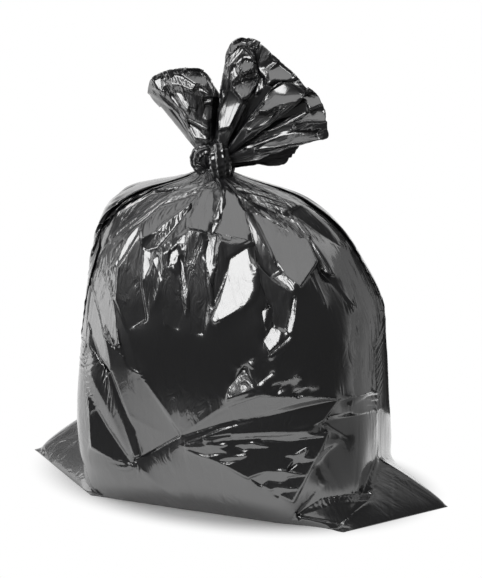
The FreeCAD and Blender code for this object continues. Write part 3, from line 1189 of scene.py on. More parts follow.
@dataclass(frozen=True)
class Leaf:
    """A leaf of the loose film above the knot, drawn over the photograph.

    root and rim are points of the photograph (column, row) with a depth in millimetres towards the
    camera. Between its two sides the leaf swells by bulge, and beyond its outline it turns back by
    curl. film is the width of bag film gathered into it. Other lengths are millimetres too.
    """

    name: str
    root: tuple[tuple[float, float, float], ...]
    rim: tuple[tuple[float, float, float], ...]
    bulge: float
    film: float
    seed: int
    curl: float = 0.0
    flats: tuple[Flat, ...] = ()
    rows: int = 112
    columns: int = 168
    curl_share: float = 0.18
    stages: tuple[Stage, ...] = (
        Stage(4, 150, 4.0, 0.02),
        Stage(2, 110, 2.2, 0.03),
        Stage(1, 60, 0.9, 0.05),
    )
    fold_counts: tuple[float, ...] = (4.5, 7.0, 10.5)
    fold_sizes: tuple[float, ...] = (0.5, 0.4, 0.35)
    fold_height: float = 11.0
    room: float = 13.0
    relief_reach: float = 22.0
    relief_limit: float = 13.0

    @staticmethod
    def spread(points: tuple[tuple[float, float, float], ...], count: int) -> np.ndarray:
        """Read a line of points at even distances.

        Args:
            points: the line's points, by column, row and depth.
            count: how many points to read.

        Returns:
            The points read.
        """
        line = np.array(points, float)
        walked = np.concatenate([[0], np.cumsum(np.linalg.norm(np.diff(line, axis=0), axis=1))])
        return curve_through(walked, line, np.linspace(0, walked[-1], count))

    def surface(self) -> np.ndarray:
        """The leaf without folds, as rows from its root to its rim, in millimetres."""
        root, rim = self.spread(self.root, self.columns), self.spread(self.rim, self.columns)
        out = np.linspace(0, 1, self.rows)[:, None]
        side = np.linspace(0, 1, self.columns)[None, :]
        share = self.curl_share if self.curl else 0.0
        reach = np.minimum(out / (1 - share), 1)
        turned = np.clip((out - 1 + share) / max(share, 1e-6), 0, 1) if share else np.zeros_like(out)
        points = root[None] + (rim - root)[None] * reach[..., None]
        points = points - (rim - root)[None] * (0.1 * turned**2)[..., None]
        swell = self.bulge * np.sin(math.pi * side) ** 0.8 * np.sin(math.pi * 0.72 * reach)
        depth = points[..., 2] + swell - self.curl * np.sin(turned * math.pi / 2)
        return VIEW.places(points[..., :2], depth)

    def folds(self, side: np.ndarray, seed: int) -> np.ndarray:
        """The gathers across the leaf, from about -1 to 1.

        Args:
            side: the place of each column, from 0 to 1.
            seed: the seed of where each wave starts.

        Returns:
            The height of each column as a share.
        """
        turns = np.random.default_rng(seed).uniform(0, 1, len(self.fold_counts))
        return sum(
            size * np.sin(2 * math.pi * (count * side + turn))
            for count, size, turn in zip(self.fold_counts, self.fold_sizes, turns)
        )

    def relaxed(self) -> tuple[np.ndarray, tuple[float, float, float]]:
        """The leaf's film with its folds, in millimetres, and its flat width, length and area."""
        lifted = self.surface()
        firm_full = np.zeros(lifted.shape[:2])
        if self.flats:
            relief = Relief(lifted, self.flats, False, self.relief_reach)
            lifted, firm_full = relief.lifted(self.relief_limit)
        shape = None
        for stage in self.stages:
            rows, columns = self.rows // stage.share, self.columns // stage.share
            seed = self.seed + stage.share
            goal = sampled(lifted, False, rows, columns)
            firm = sampled(firm_full, False, rows, columns)
            normals = grid_normals(goal, False)
            out = np.linspace(0, 1, rows)[:, None]
            side = np.linspace(0, 1, columns)[None, :]
            if shape is None:
                rise = self.fold_height * self.folds(side, seed) * np.sin(math.pi * 0.7 * out)
                shape = goal + normals * (rise * (1 - 0.8 * firm))[..., None]
            else:
                shape = finer(shape, False, rows, columns)
            cells = (max(4, rows // 5), max(6, columns // 5))
            bumps = noise(seed, rows, columns, cells, False) * stage.crumple
            bumps = bumps * np.minimum(out * 4, 1) * (1 - 0.7 * firm)
            shape = shape + normals * bumps[..., None]
            shape[0] = goal[0]
            along = np.linalg.norm(np.diff(goal, axis=1), axis=-1)
            along = np.concatenate([along, along[:, -1:]], axis=1)
            across = np.linalg.norm(np.diff(goal, axis=0), axis=-1)
            spare = np.clip(self.film / along.sum(axis=1, keepdims=True) - 1, 0.05, 0.32)
            hold = np.full((rows, columns), 0.03)
            hold[0] = 1
            # millimetres the film may leave its goal: most half way out, little at the knot and the rim
            room = self.room * np.sin(math.pi * np.minimum(out + 0.12, 1) * 0.8) * (1 - 0.8 * out**5)
            room = 2 + room * (1 - 0.7 * firm)
            film = Film(goal, False, along * (1 + spare), across * 1.015, hold, room, room, stage.bend)
            shape = film.relax(shape, stage.rounds)
        shape = shape + (goal - shape) * (0.8 * firm)[..., None]
        return shape, film.cut()

    def build(self, material: bpy.types.Material) -> bpy.types.Object:
        """The leaf as one sheet of film."""
        points, (width, length, area) = self.relaxed()
        piece = shell_from_grid(self.name, points, FILM_THICKNESS)
        piece.data.materials.append(material)
        dress(piece)
        LOG.info("%s: %.0f x %.0f mm, %.0f cm2 of film", self.name, width, length, area / 100)
        return piece


# The facets of the leaves above the knot, named for their leaves.
LEFT_FLATS = (
    Flat(
        Sees.TOP,
        ((187, 69.5), (201, 70.8), (211.4, 88.7), (212.7, 95), (200, 86), (188.5, 79.7), (178.3, 73.4)),
    ),
    Flat(Sees.TOP, ((152.8, 81), (163, 74.6), (165.5, 81), (165.5, 93.8), (155.3, 90))),
    Flat(Sees.TOP, ((159, 106.5), (178, 127), (184, 134), (190, 137), (179, 118), (165.5, 101.4))),
    Flat(
        Sees.ROOM,
        ((147.7, 90), (165.5, 96.3), (188.5, 119.3), (209, 131), (193.6, 124.4), (169.3, 106.5)),
    ),
    Flat(Sees.ROOM, ((182, 90.6), (191, 91.2), (196, 101.4), (197.4, 111.6), (191, 106.5), (187, 98.9))),
    Flat(Sees.ROOM, ((196, 111.6), (203.8, 124.4), (208.9, 127), (201.2, 114.2), (200, 101.4))),
    Flat(Sees.ROOM, ((196, 87.4), (210, 96.3), (202.5, 98.9), (192.3, 92.5))),
    Flat(Sees.TOP, ((205, 104.6), (213.3, 104.6), (211.4, 119.3), (206.3, 121.8), (203, 111.6))),
    Flat(
        Sees.KEY,
        (
            (170, 81), (173.8, 73.4), (182, 75.3), (196, 84.8), (192.3, 91.2), (184.6, 87.4), (178.3, 86),
            (171.3, 86),
        ),
    ),
    Flat(Sees.KEY, ((199.3, 85.5), (212.7, 95.8), (211.4, 98), (197.4, 88.4))),
    Flat(Sees.KEY, ((203.8, 97.6), (213.3, 98.9), (213.7, 103.3), (203, 102.7))),
    Flat(Sees.KEY, ((174.4, 90.6), (180.8, 91.2), (189, 105.3), (187.8, 111.6), (183.4, 106.5))),
    Flat(Sees.KEY, ((162, 77.2), (165.8, 75.9), (165.2, 86), (163, 89))),
    Flat(
        Sees.KEY,
        ((171.9, 92.2), (187.2, 116), (208.9, 128.2), (207.6, 131), (185, 118.6), (170.2, 95.4)),
    ),
    Flat(
        Sees.KEY,
        ((188.5, 121.8), (196, 125.7), (201, 131), (209, 141), (201, 139.7), (195, 139.7), (191, 132)),
    ),
)

ARCH_FLATS = (
    Flat(
        Sees.ROOM,
        (
            (226, 70), (236, 53), (242, 48), (247, 50), (252, 57), (244, 55), (236, 66), (231, 82),
            (227, 90),
        ),
    ),
    Flat(Sees.TOP, ((231.8, 86), (249.7, 77.2), (257.3, 77.2), (251, 95), (242, 101.4))),
    Flat(Sees.TOP, ((242, 59.3), (252.2, 60.6), (254.8, 68.3), (240.8, 74.6))),
    Flat(Sees.ROOM, ((240.8, 77.2), (257.3, 71), (258.6, 76.6), (248.4, 78.5))),
    Flat(
        Sees.ROOM,
        ((242, 104), (252.2, 95), (248.4, 109), (234.4, 130.8), (229.3, 141), (234.4, 119.3)),
    ),
    Flat(
        Sees.KEY,
        (
            (230, 88.7), (239.5, 97.6), (240.8, 101.4), (234.4, 116.7), (229.3, 128.2), (219, 130.8),
            (217.8, 121.8), (221.6, 106.5),
        ),
    ),
    Flat(Sees.KEY, ((225.3, 67), (231, 55.2), (240.6, 44.4), (242.4, 47), (233.4, 58.6), (227.8, 67.4))),
    Flat(Sees.KEY, ((220.4, 88.7), (224.8, 68.3), (226.2, 69.5), (223, 91.2), (219, 98.9))),
    Flat(
        Sees.KEY,
        (
            (238, 68.3), (240.6, 57.2), (244.6, 55), (252.4, 57.6), (252.4, 60.2), (244.6, 57.8),
            (242.4, 59.6), (240.4, 69.5),
        ),
    ),
    Flat(Sees.KEY, ((233, 67), (235.7, 65.7), (237, 73.4), (238.2, 76), (231.2, 83.6), (231.8, 74.6))),
)

WIDE_FLATS = (
    Flat(Sees.TOP, ((268.8, 70.8), (280.3, 63.2), (293, 74.6), (286.7, 81), (274, 81), (267.6, 86))),
    Flat(Sees.TOP, ((230.6, 46.6), (242, 39.6), (247, 42.8), (246, 46), (240, 45), (229.5, 57))),
    Flat(Sees.TOP, ((307, 93.8), (318.6, 93.8), (322.4, 102.7), (309.6, 111.6), (305.8, 101.4))),
    Flat(
        Sees.KEY,
        ((259.3, 69.5), (272.7, 60.6), (279, 60.6), (267.6, 73.4), (266.3, 86), (262.4, 74.6)),
    ),
    Flat(Sees.KEY, ((259.9, 77.2), (264.4, 77.2), (261.2, 91.2), (254.8, 95), (257.3, 86))),
    Flat(Sees.KEY, ((290.5, 80.4), (304.5, 83.6), (298.2, 86.4))),
)

FOLD_FLATS = (
    Flat(
        Sees.TOP,
        (
            (251, 111.6), (262.4, 96.3), (284, 81.7), (296.9, 87.4), (303.3, 93.8), (299.4, 101.4),
            (280.3, 105.3), (265, 112.9),
        ),
    ),
    Flat(
        Sees.ROOM,
        ((242, 125.7), (252.2, 116.7), (267.6, 114.2), (277.8, 111.6), (267.6, 121.8), (248.4, 132)),
    ),
    Flat(Sees.KEY, ((252.2, 111), (262.4, 102.2), (263.7, 104.4), (253.5, 114.6))),
    Flat(Sees.KEY, ((243.3, 121.8), (249.7, 114.2), (254.8, 116.7), (245.9, 121.8))),
)

LOW_FLATS = (
    Flat(Sees.TOP, ((309.6, 111.6), (323.7, 106.5), (326.2, 121.8), (305.8, 121.8), (293, 124.4))),
    Flat(
        Sees.TOP,
        (
            (254.8, 151), (267.6, 142), (293, 131.5), (318.6, 131), (318.6, 139.7), (299.4, 142.2),
            (274, 148.6),
        ),
    ),
    Flat(
        Sees.ROOM,
        (
            (229.3, 144.8), (248.4, 135.9), (267.6, 130.8), (293, 124.4), (293, 128.5), (267.6, 137.6),
            (244.6, 146), (234.4, 148.6),
        ),
    ),
    Flat(
        Sees.KEY,
        (
            (267.6, 120.6), (276.5, 116.7), (304.5, 106.5), (308.4, 111.6), (293, 121.8),
            (267.6, 132), (265, 130.8),
        ),
    ),
    Flat(
        Sees.KEY,
        ((244.6, 146.6), (267.6, 139), (291, 129), (291, 131.6), (267.6, 141.6), (245.9, 149.9)),
    ),
)

LEAVES = (
    Leaf(
        "tail_left_front",
        ((197, 150, 6), (205, 150, 16), (213, 148, 10)),
        (
            (148, 90, 6), (152, 78, 16), (164, 71.5, 22), (175.5, 69, 24), (186, 68.3, 24),
            (199.5, 69.3, 18), (206, 73, 12), (212, 82, 4), (218.5, 92, -6),
        ),
        bulge=16,
        film=300,
        seed=11,
        curl=20,
        flats=LEFT_FLATS,
    ),
    Leaf(
        "tail_left_back",
        ((213, 148, 4), (205, 150, -10), (197, 150, 0)),
        ((218, 94, -12), (205, 78, -14), (186, 73, -18), (166, 76, -16), (150, 90, -10)),
        bulge=-26,
        film=260,
        seed=12,
    ),
    Leaf(
        "tail_right_wide",
        ((213, 148, 0), (222, 152, -4), (229, 160, -6)),
        (
            (219, 99, -12), (224, 71, -10), (231, 44, -8), (238, 39.3, -8), (245, 38, -8), (251, 39.5, -8),
            (272, 54, -5), (289.5, 70, 0), (311, 90.5, 4), (317, 94, 6), (322, 105.5, 6),
            (325.5, 128, 6),
        ),
        bulge=14,
        film=560,
        seed=13,
        flats=WIDE_FLATS,
    ),
    Leaf(
        "tail_right_arch",
        ((213, 149, 12), (219, 150, 20), (225, 151, 14)),
        (
            (217.5, 111, -2), (226, 66, 0), (234.5, 50, 2), (240, 45, 2), (245.5, 45.5, 2),
            (254.5, 59, 4), (258, 77, 6), (249, 100, 8),
        ),
        bulge=18,
        film=260,
        seed=14,
        curl=10,
        flats=ARCH_FLATS,
    ),
    Leaf(
        "tail_right_fold",
        ((223, 152, 10), (226, 154, 16), (229, 157, 8)),
        (
            (253.5, 109, 8), (261.5, 100, 12), (282, 82, 16), (294, 84.5, 16), (304, 94, 12),
            (300, 101.5, 10), (275, 117, 8),
        ),
        bulge=18,
        film=190,
        seed=15,
        flats=FOLD_FLATS,
    ),
    Leaf(
        "tail_right_low",
        ((225, 155, 4), (228, 159, 14), (227, 164, 6)),
        (
            (275, 118, 2), (303, 110, 8), (322, 106.5, 6), (325, 128, 4), (325, 136.5, 2),
            (317, 140.5, 4), (299, 145.5, 4), (265, 158, 2),
        ),
        bulge=20,
        film=300,
        seed=16,
        flats=LOW_FLATS,
    ),
    Leaf(
        "tail_right_flap",
        ((226, 158, -2), (226, 163, -8), (222, 168, -4)),
        (
            (299, 145.5, -8), (293, 155, -10), (287, 164, -12), (265, 164.3, -10), (250, 166, -8),
            (238, 167.5, -4),
        ),
        bulge=-10,
        film=190,
        seed=17,
    ),
    Leaf(
        "tail_right_back",
        ((229, 157, -8), (220, 150, -22), (213, 148, -8)),
        ((318, 128, -26), (300, 96, -34), (272, 72, -38), (246, 66, -34), (228, 84, -22)),
        bulge=-26,
        film=330,
        seed=18,
    ),
)


def linear(hex_colour: str) -> tuple[float, float, float, float]:
    """A six-digit sRGB colour as the linear values that Blender takes."""
    parts = [int(hex_colour[place : place + 2], 16) / 255 for place in (0, 2, 4)]
    return (*(part / 12.92 if part <= 0.04045 else ((part + 0.055) / 1.055) ** 2.4 for part in parts), 1.0)


def add_node(
    tree: bpy.types.NodeTree, kind: str, settings: dict | None = None, inputs: dict | None = None
) -> bpy.types.Node:
    """Add a node to a tree.

    Args:
        tree: the node tree.
        kind: the node's type.
        settings: attributes of the node by name.
        inputs: for each input, a value to set or a socket to link from.

    Returns:
        The new node.
    """
    node = tree.nodes.new(kind)
    for name, value in (settings or {}).items():
        setattr(node, name, value)
    for name, value in (inputs or {}).items():
        if isinstance(value, bpy.types.NodeSocket):
            tree.links.new(value, node.inputs[name])
        else:
            node.inputs[name].default_value = value
    return node


def empty_tree(owner: bpy.types.Material | bpy.types.World) -> bpy.types.NodeTree:
    """A material's or a world's node tree, with nothing in it."""
    owner.use_nodes = True
    owner.node_tree.nodes.clear()
    return owner.node_tree


@dataclass(frozen=True)
class Bunch:
    """A bunch of gathered film that follows a path: part of the knot.

    Each point of the path is a point of the photograph (column, row), a depth and a radius in
    millimetres.
    """

    name: str
    path: tuple[tuple[float, float, float, float], ...]
    pleats: int
    twist: float
    rings: float
    seed: int


BUNCHES = (
    Bunch(
        "knot_core",
        (
            (222, 188, -10, 15), (218, 180, -8, 17), (214, 170, -4, 21), (212, 158, -2, 23),
            (213, 148, 0, 19), (214, 140, 0, 14),
        ),
        pleats=9,
        twist=1.0,
        rings=6,
        seed=3,
    ),
    Bunch(
        "knot_front",
        (
            (218, 146, -8, 9), (219, 147, 8, 13), (220, 153, 18, 15), (220.5, 162, 21, 15.5),
            (221, 171, 17, 14), (222, 179, 8, 11), (222, 186, -4, 8),
        ),
        pleats=5,
        twist=0.3,
        rings=13,
        seed=5,
    ),
    Bunch(
        "knot_left",
        (
            (214, 151, 10, 8), (206, 151, 15, 11), (199.5, 156, 14, 12), (199, 163, 12, 12.5),
            (203, 170, 12, 10), (212, 176, 10, 7),
        ),
        pleats=5,
        twist=0.8,
        rings=9,
        seed=6,
    ),
    Bunch(
        "knot_back",
        (
            (220, 184, -6, 8), (206, 172, -16, 12), (201, 163, -24, 14), (208, 154, -32, 15),
            (219, 152, -30, 14), (226, 158, -18, 12), (228, 168, -8, 10), (224, 178, 2, 8),
        ),
        pleats=7,
        twist=1.2,
        rings=9,
        seed=7,
    ),
    Bunch(
        "knot_strap",
        ((207, 170, 14, 4), (214, 175, 19, 4.5), (219, 179.5, 18, 4), (224, 184, 10, 3)),
        pleats=5,
        twist=0.8,
        rings=5,
        seed=8,
    ),
)


@dataclass(frozen=True)
class Knot:
    """The knot: bunches of film gathered along their paths by one node tree with named inputs."""

    bunches: tuple[Bunch, ...] = BUNCHES
    path_points: int = 170
    ring_points: int = 160
    spine_points: int = 60
    fewer_pleats: float = 0.37
    fewer_depth: float = 0.55
    backward_twist: float = 1.7
    ring_depth: float = 0.22
    ring_drift: float = 1.3
    wrinkle_gain: float = 4.0

    def tree(self, material: bpy.types.Material) -> tuple[bpy.types.NodeTree, dict[str, str]]:
        """Build the node tree.

        Args:
            material: the film's material.

        Returns:
            The tree, and the identifiers of its inputs by name.
        """
        group = bpy.data.node_groups.new("gathered_film", "GeometryNodeTree")
        interface = group.interface
        interface.new_socket("Geometry", in_out="INPUT", socket_type="NodeSocketGeometry")
        sockets = {}
        for name, kind, default in (
            ("Pleats", "NodeSocketInt", 12),
            ("Pleat Depth", "NodeSocketFloat", 0.16),
            ("Twist", "NodeSocketFloat", 1.0),
            ("Wrinkle Size", "NodeSocketFloat", 0.009),
            ("Wrinkle Depth", "NodeSocketFloat", 0.0008),
            ("Rings", "NodeSocketFloat", 8.0),
            ("Seed", "NodeSocketFloat", 0.0),
        ):
            socket = interface.new_socket(name, in_out="INPUT", socket_type=kind)
            socket.default_value = default
            sockets[name] = socket.identifier
        interface.new_socket("Geometry", in_out="OUTPUT", socket_type="NodeSocketGeometry")
        self.lay_out(group, material)
        return group, sockets

    def steps(self) -> tuple[tuple[str, str, str | float, str | float], ...]:
        """The arithmetic of the skin's rise: each step's name, its operation and its two values."""
        full_turn = 2 * math.pi
        return (
            ("turn", "MULTIPLY", "around", full_turn),
            ("twisted", "MULTIPLY", "along", "Twist"),
            ("phase", "ADD", "twisted", "Seed"),
            ("pleats", "MULTIPLY", "turn", "Pleats"),
            ("pleat_phase", "ADD", "pleats", "phase"),
            ("pleat_wave", "SINE", "pleat_phase", 0.0),
            ("blunt", "ABSOLUTE", "pleat_wave", 0.0),
            ("sharp", "SUBTRACT", 0.5, "blunt"),
            ("fewer_share", "MULTIPLY", "Pleats", self.fewer_pleats),
            ("fewer", "ROUND", "fewer_share", 0.0),
            ("fewer_turn", "MULTIPLY", "turn", "fewer"),
            ("backward", "MULTIPLY", "phase", self.backward_twist),
            ("fewer_phase", "SUBTRACT", "fewer_turn", "backward"),
            ("fewer_wave", "SINE", "fewer_phase", 0.0),
            ("soft", "MULTIPLY", "fewer_wave", self.fewer_depth),
            ("folds", "ADD", "sharp", "soft"),
            ("double_turn", "MULTIPLY", "turn", 2.0),
            ("sway", "SINE", "double_turn", 0.0),
            ("drift", "MULTIPLY", "sway", self.ring_drift),
            ("ring_turn", "MULTIPLY", "Rings", full_turn),
            ("ring_place", "MULTIPLY", "along", "ring_turn"),
            ("ring_phase", "ADD", "ring_place", "drift"),
            ("ring_wave", "SINE", "ring_phase", 0.0),
            ("ring_rise", "MULTIPLY", "ring_wave", self.ring_depth),
            ("ringed", "ADD", "folds", "ring_rise"),
            ("deep", "MULTIPLY", "ringed", "Pleat Depth"),
            ("pleated", "MULTIPLY", "deep", "radius"),
            ("centred", "SUBTRACT", "pattern", 0.5),
            ("shallow", "MULTIPLY", "centred", "Wrinkle Depth"),
            ("wrinkled", "MULTIPLY", "shallow", self.wrinkle_gain),
            ("rise", "ADD", "pleated", "wrinkled"),
        )

    def lay_out(self, tree: bpy.types.NodeTree, material: bpy.types.Material) -> None:
        """Lay out the nodes from the path to the gathered film.

        Args:
            tree: the tree, with its inputs.
            material: the film's material.
        """
        given = add_node(tree, "NodeGroupInput").outputs
        curve = add_node(tree, "GeometryNodeMeshToCurve", None, {"Mesh": given["Geometry"]})
        path = add_node(
            tree, "GeometryNodeResampleCurve", None, {"Curve": curve.outputs[0], "Count": self.path_points}
        )
        ring = add_node(
            tree, "GeometryNodeCurvePrimitiveCircle", None, {"Resolution": self.ring_points, "Radius": 1.0}
        )
        values = dict(given.items())
        curves = {}
        for name, source in (("along", path), ("around", ring)):
            capture = add_node(tree, "GeometryNodeCaptureAttribute")
            capture.capture_items.new("FLOAT", name)
            place = add_node(tree, "GeometryNodeSplineParameter").outputs["Factor"]
            tree.links.new(source.outputs[0], capture.inputs["Geometry"])
            tree.links.new(place, capture.inputs[name])
            curves[name] = capture.outputs["Geometry"]
            values[name] = capture.outputs[name]
        thick = add_node(tree, "GeometryNodeInputNamedAttribute", {"data_type": "FLOAT"}, {"Name": "thick"})
        values["radius"] = thick.outputs[0]
        skin = add_node(
            tree,
            "GeometryNodeCurveToMesh",
            None,
            {
                "Curve": curves["along"],
                "Profile Curve": curves["around"],
                "Scale": values["radius"],
                "Fill Caps": True,
            },
        )
        size = given["Wrinkle Size"]
        scale = add_node(tree, "ShaderNodeMath", {"operation": "DIVIDE"}, {0: 1.0, 1: size})
        pattern = add_node(
            tree,
            "ShaderNodeTexNoise",
            {"noise_dimensions": "4D"},
            {
                "Vector": add_node(tree, "GeometryNodeInputPosition").outputs[0],
                "W": given["Seed"],
                "Scale": scale.outputs[0],
                "Detail": 2.0,
            },
        )
        values["pattern"] = pattern.outputs["Fac"]
        for name, operation, first, second in self.steps():
            inputs = {0: values.get(first, first), 1: values.get(second, second)}
            values[name] = add_node(tree, "ShaderNodeMath", {"operation": operation}, inputs).outputs[0]
        normal = add_node(tree, "GeometryNodeInputNormal").outputs["Normal"]
        offset = add_node(
            tree, "ShaderNodeVectorMath", {"operation": "SCALE"}, {0: normal, "Scale": values["rise"]}
        )
        moved = add_node(
            tree,
            "GeometryNodeSetPosition",
            None,
            {"Geometry": skin.outputs[0], "Offset": offset.outputs[0]},
        )
        smooth = add_node(tree, "GeometryNodeSetShadeSmooth", None, {"Geometry": moved.outputs[0]})
        real = add_node(tree, "GeometryNodeRealizeInstances", None, {"Geometry": smooth.outputs[0]})
        skinned = add_node(
            tree, "GeometryNodeSetMaterial", None, {"Geometry": real.outputs[0], "Material": material}
        )
        add_node(tree, "NodeGroupOutput", None, {"Geometry": skinned.outputs[0]})

    def gathered(
        self, bunch: Bunch, group: bpy.types.NodeTree, sockets: dict[str, str]
    ) -> bpy.types.Object:
        """Build one bunch as a plain mesh object at the origin.

        Args:
            bunch: the bunch.
            group: the node tree.
            sockets: the identifiers of its inputs by name.

        Returns:
            The new object, with the tree's modifier applied.
        """
        line = np.array(bunch.path, float)
        walked = np.concatenate([[0], np.cumsum(np.linalg.norm(np.diff(line[:, :3], axis=0), axis=1))])
        line = curve_through(walked, line, np.linspace(0, walked[-1], self.spine_points))
        places = VIEW.places(line[:, :2], line[:, 2]) * MM
        mesh = bpy.data.meshes.new(bunch.name)
        mesh.from_pydata(places.tolist(), [(place, place + 1) for place in range(len(places) - 1)], [])
        thick = mesh.attributes.new("thick", "FLOAT", "POINT")
        thick.data.foreach_set("value", (line[:, 3] * MM).tolist())
        piece = linked(bunch.name, mesh)
        modifier = piece.modifiers.new("gather", "NODES")
        modifier.node_group = group
        modifier[sockets["Pleats"]] = bunch.pleats
        modifier[sockets["Twist"]] = bunch.twist * 2 * math.pi
        modifier[sockets["Rings"]] = float(bunch.rings)
        modifier[sockets["Seed"]] = float(bunch.seed)
        ready = piece.evaluated_get(bpy.context.evaluated_depsgraph_get())
        piece.data = bpy.data.meshes.new_from_object(ready)
        piece.modifiers.remove(modifier)
        return piece

    def build(self, material: bpy.types.Material) -> list[bpy.types.Object]:
        """The knot's bunches, each as one piece."""
        group, sockets = self.tree(material)
        pieces = [self.gathered(bunch, group, sockets) for bunch in self.bunches]
        for piece in pieces:
            dress(piece)
        return pieces


@dataclass(frozen=True)
class BlackFilm:
    """Blown low-density polyethylene film, black masterbatch, as it comes off the roll.

    The skin is glossy and slightly hazy, so it mirrors lamps sharply over a softer sheen. Stretch marks
    run along the bag, and patches of it are finely crinkled. The real crinkles are finer than a pixel, so
    they are drawn as coarse as they need to be to show. Its coordinates are metres of film. The index of
    refraction is raised above polyethylene's 1.51 to mirror as brightly as the photograph's film.
    """

    name: str = "black_film"
    colour: str = "19191c"
    haze: float = 0.32
    gloss: float = 0.09
    ior: float = 1.85
    stretch_mm: float = 11.0
    stretch_depth_mm: float = 0.8
    crinkle_mm: float = 8.0
    crinkle_depth_mm: float = 1.3
    patch_mm: float = 60.0
    smooth_below: float = 0.4
    crinkled_above: float = 0.62
    least_crinkle: float = 0.2
    slant: float = 0.6

    def make(self) -> bpy.types.Material:
        """The material."""
        material = bpy.data.materials.new(self.name)
        tree = empty_tree(material)
        place = add_node(tree, "ShaderNodeTexCoord").outputs["UV"]
        drawn = add_node(tree, "ShaderNodeMapping", None, {"Vector": place, "Scale": (1.0, 0.13, 1.0)})
        stretch = add_node(
            tree,
            "ShaderNodeTexNoise",
            {"noise_dimensions": "2D"},
            {"Vector": drawn.outputs[0], "Scale": 500 / self.stretch_mm, "Detail": 2.0, "Distortion": 0.4},
        )
        slanted = add_node(
            tree,
            "ShaderNodeMapping",
            None,
            {"Vector": place, "Rotation": (0, 0, self.slant), "Scale": (1.0, 0.4, 1.0)},
        )
        crinkle = add_node(
            tree,
            "ShaderNodeTexNoise",
            {"noise_dimensions": "2D"},
            {
                "Vector": slanted.outputs[0],
                "Scale": 500 / self.crinkle_mm,
                "Detail": 3.0,
                "Roughness": 0.6,
                "Distortion": 0.6,
            },
        )
        patches = add_node(
            tree,
            "ShaderNodeTexNoise",
            {"noise_dimensions": "2D"},
            {"Vector": place, "Scale": 500 / self.patch_mm, "Detail": 1.0},
        )
        crinkled = add_node(
            tree,
            "ShaderNodeMapRange",
            {"interpolation_type": "SMOOTHSTEP"},
            {
                "Value": patches.outputs["Fac"],
                "From Min": self.smooth_below,
                "From Max": self.crinkled_above,
                "To Min": self.least_crinkle,
            },
        )
        height = add_node(
            tree,
            "ShaderNodeMath",
            {"operation": "MULTIPLY"},
            {0: crinkle.outputs["Fac"], 1: crinkled.outputs[0]},
        )
        coarse = add_node(
            tree,
            "ShaderNodeBump",
            None,
            {
                "Height": stretch.outputs["Fac"],
                "Distance": self.stretch_depth_mm * MM,
                "Strength": 1.0,
            },
        )
        fine = add_node(
            tree,
            "ShaderNodeBump",
            None,
            {
                "Height": height.outputs[0],
                "Distance": self.crinkle_depth_mm * MM,
                "Strength": 1.0,
                "Normal": coarse.outputs["Normal"],
            },
        )
        shader = add_node(
            tree,
            "ShaderNodeBsdfPrincipled",
            None,
            {
                "Base Color": linear(self.colour),
                "Roughness": self.haze,
                "IOR": self.ior,
                "Normal": fine.outputs["Normal"],
                "Coat Weight": 1.0,
                "Coat Roughness": self.gloss,
                "Coat IOR": self.ior,
                "Coat Normal": fine.outputs["Normal"],
            },
        )
        output = add_node(tree, "ShaderNodeOutputMaterial")
        tree.links.new(shader.outputs["BSDF"], output.inputs["Surface"])
        return material


@dataclass(frozen=True)
class Lamp:
    """A rectangular soft lamp, by where the bag sees it: degrees right of the front, and up."""

    name: str
    azimuth: float
    elevation: float
    distance: float
    size: tuple[float, float]
    radiance: float


LAMPS = (
    Lamp("top_box", -10, 80, 1.5, (1.15, 0.95), 1.1),
    Lamp("key_box", -24, 40, 1.7, (0.74, 0.64), 6.0),
    Lamp("rear_left", -116, 44, 1.7, (1.4, 1.0), 0.6),
    Lamp("left_strip", -82, 4, 1.6, (0.6, 1.5), 2.0),
)


@dataclass(frozen=True)
class Card:
    """An upright card out of the picture, behind the bag, which the bag's right side mirrors.

    left and right are its edges in metres, and glow is how bright it shows, where 1 is white.
    """

    name: str
    left: float
    right: float
    glow: float


CARDS = (Card("black_card", 0.2, 0.34, 0.01), Card("grey_card", 0.34, 0.9, 0.3))


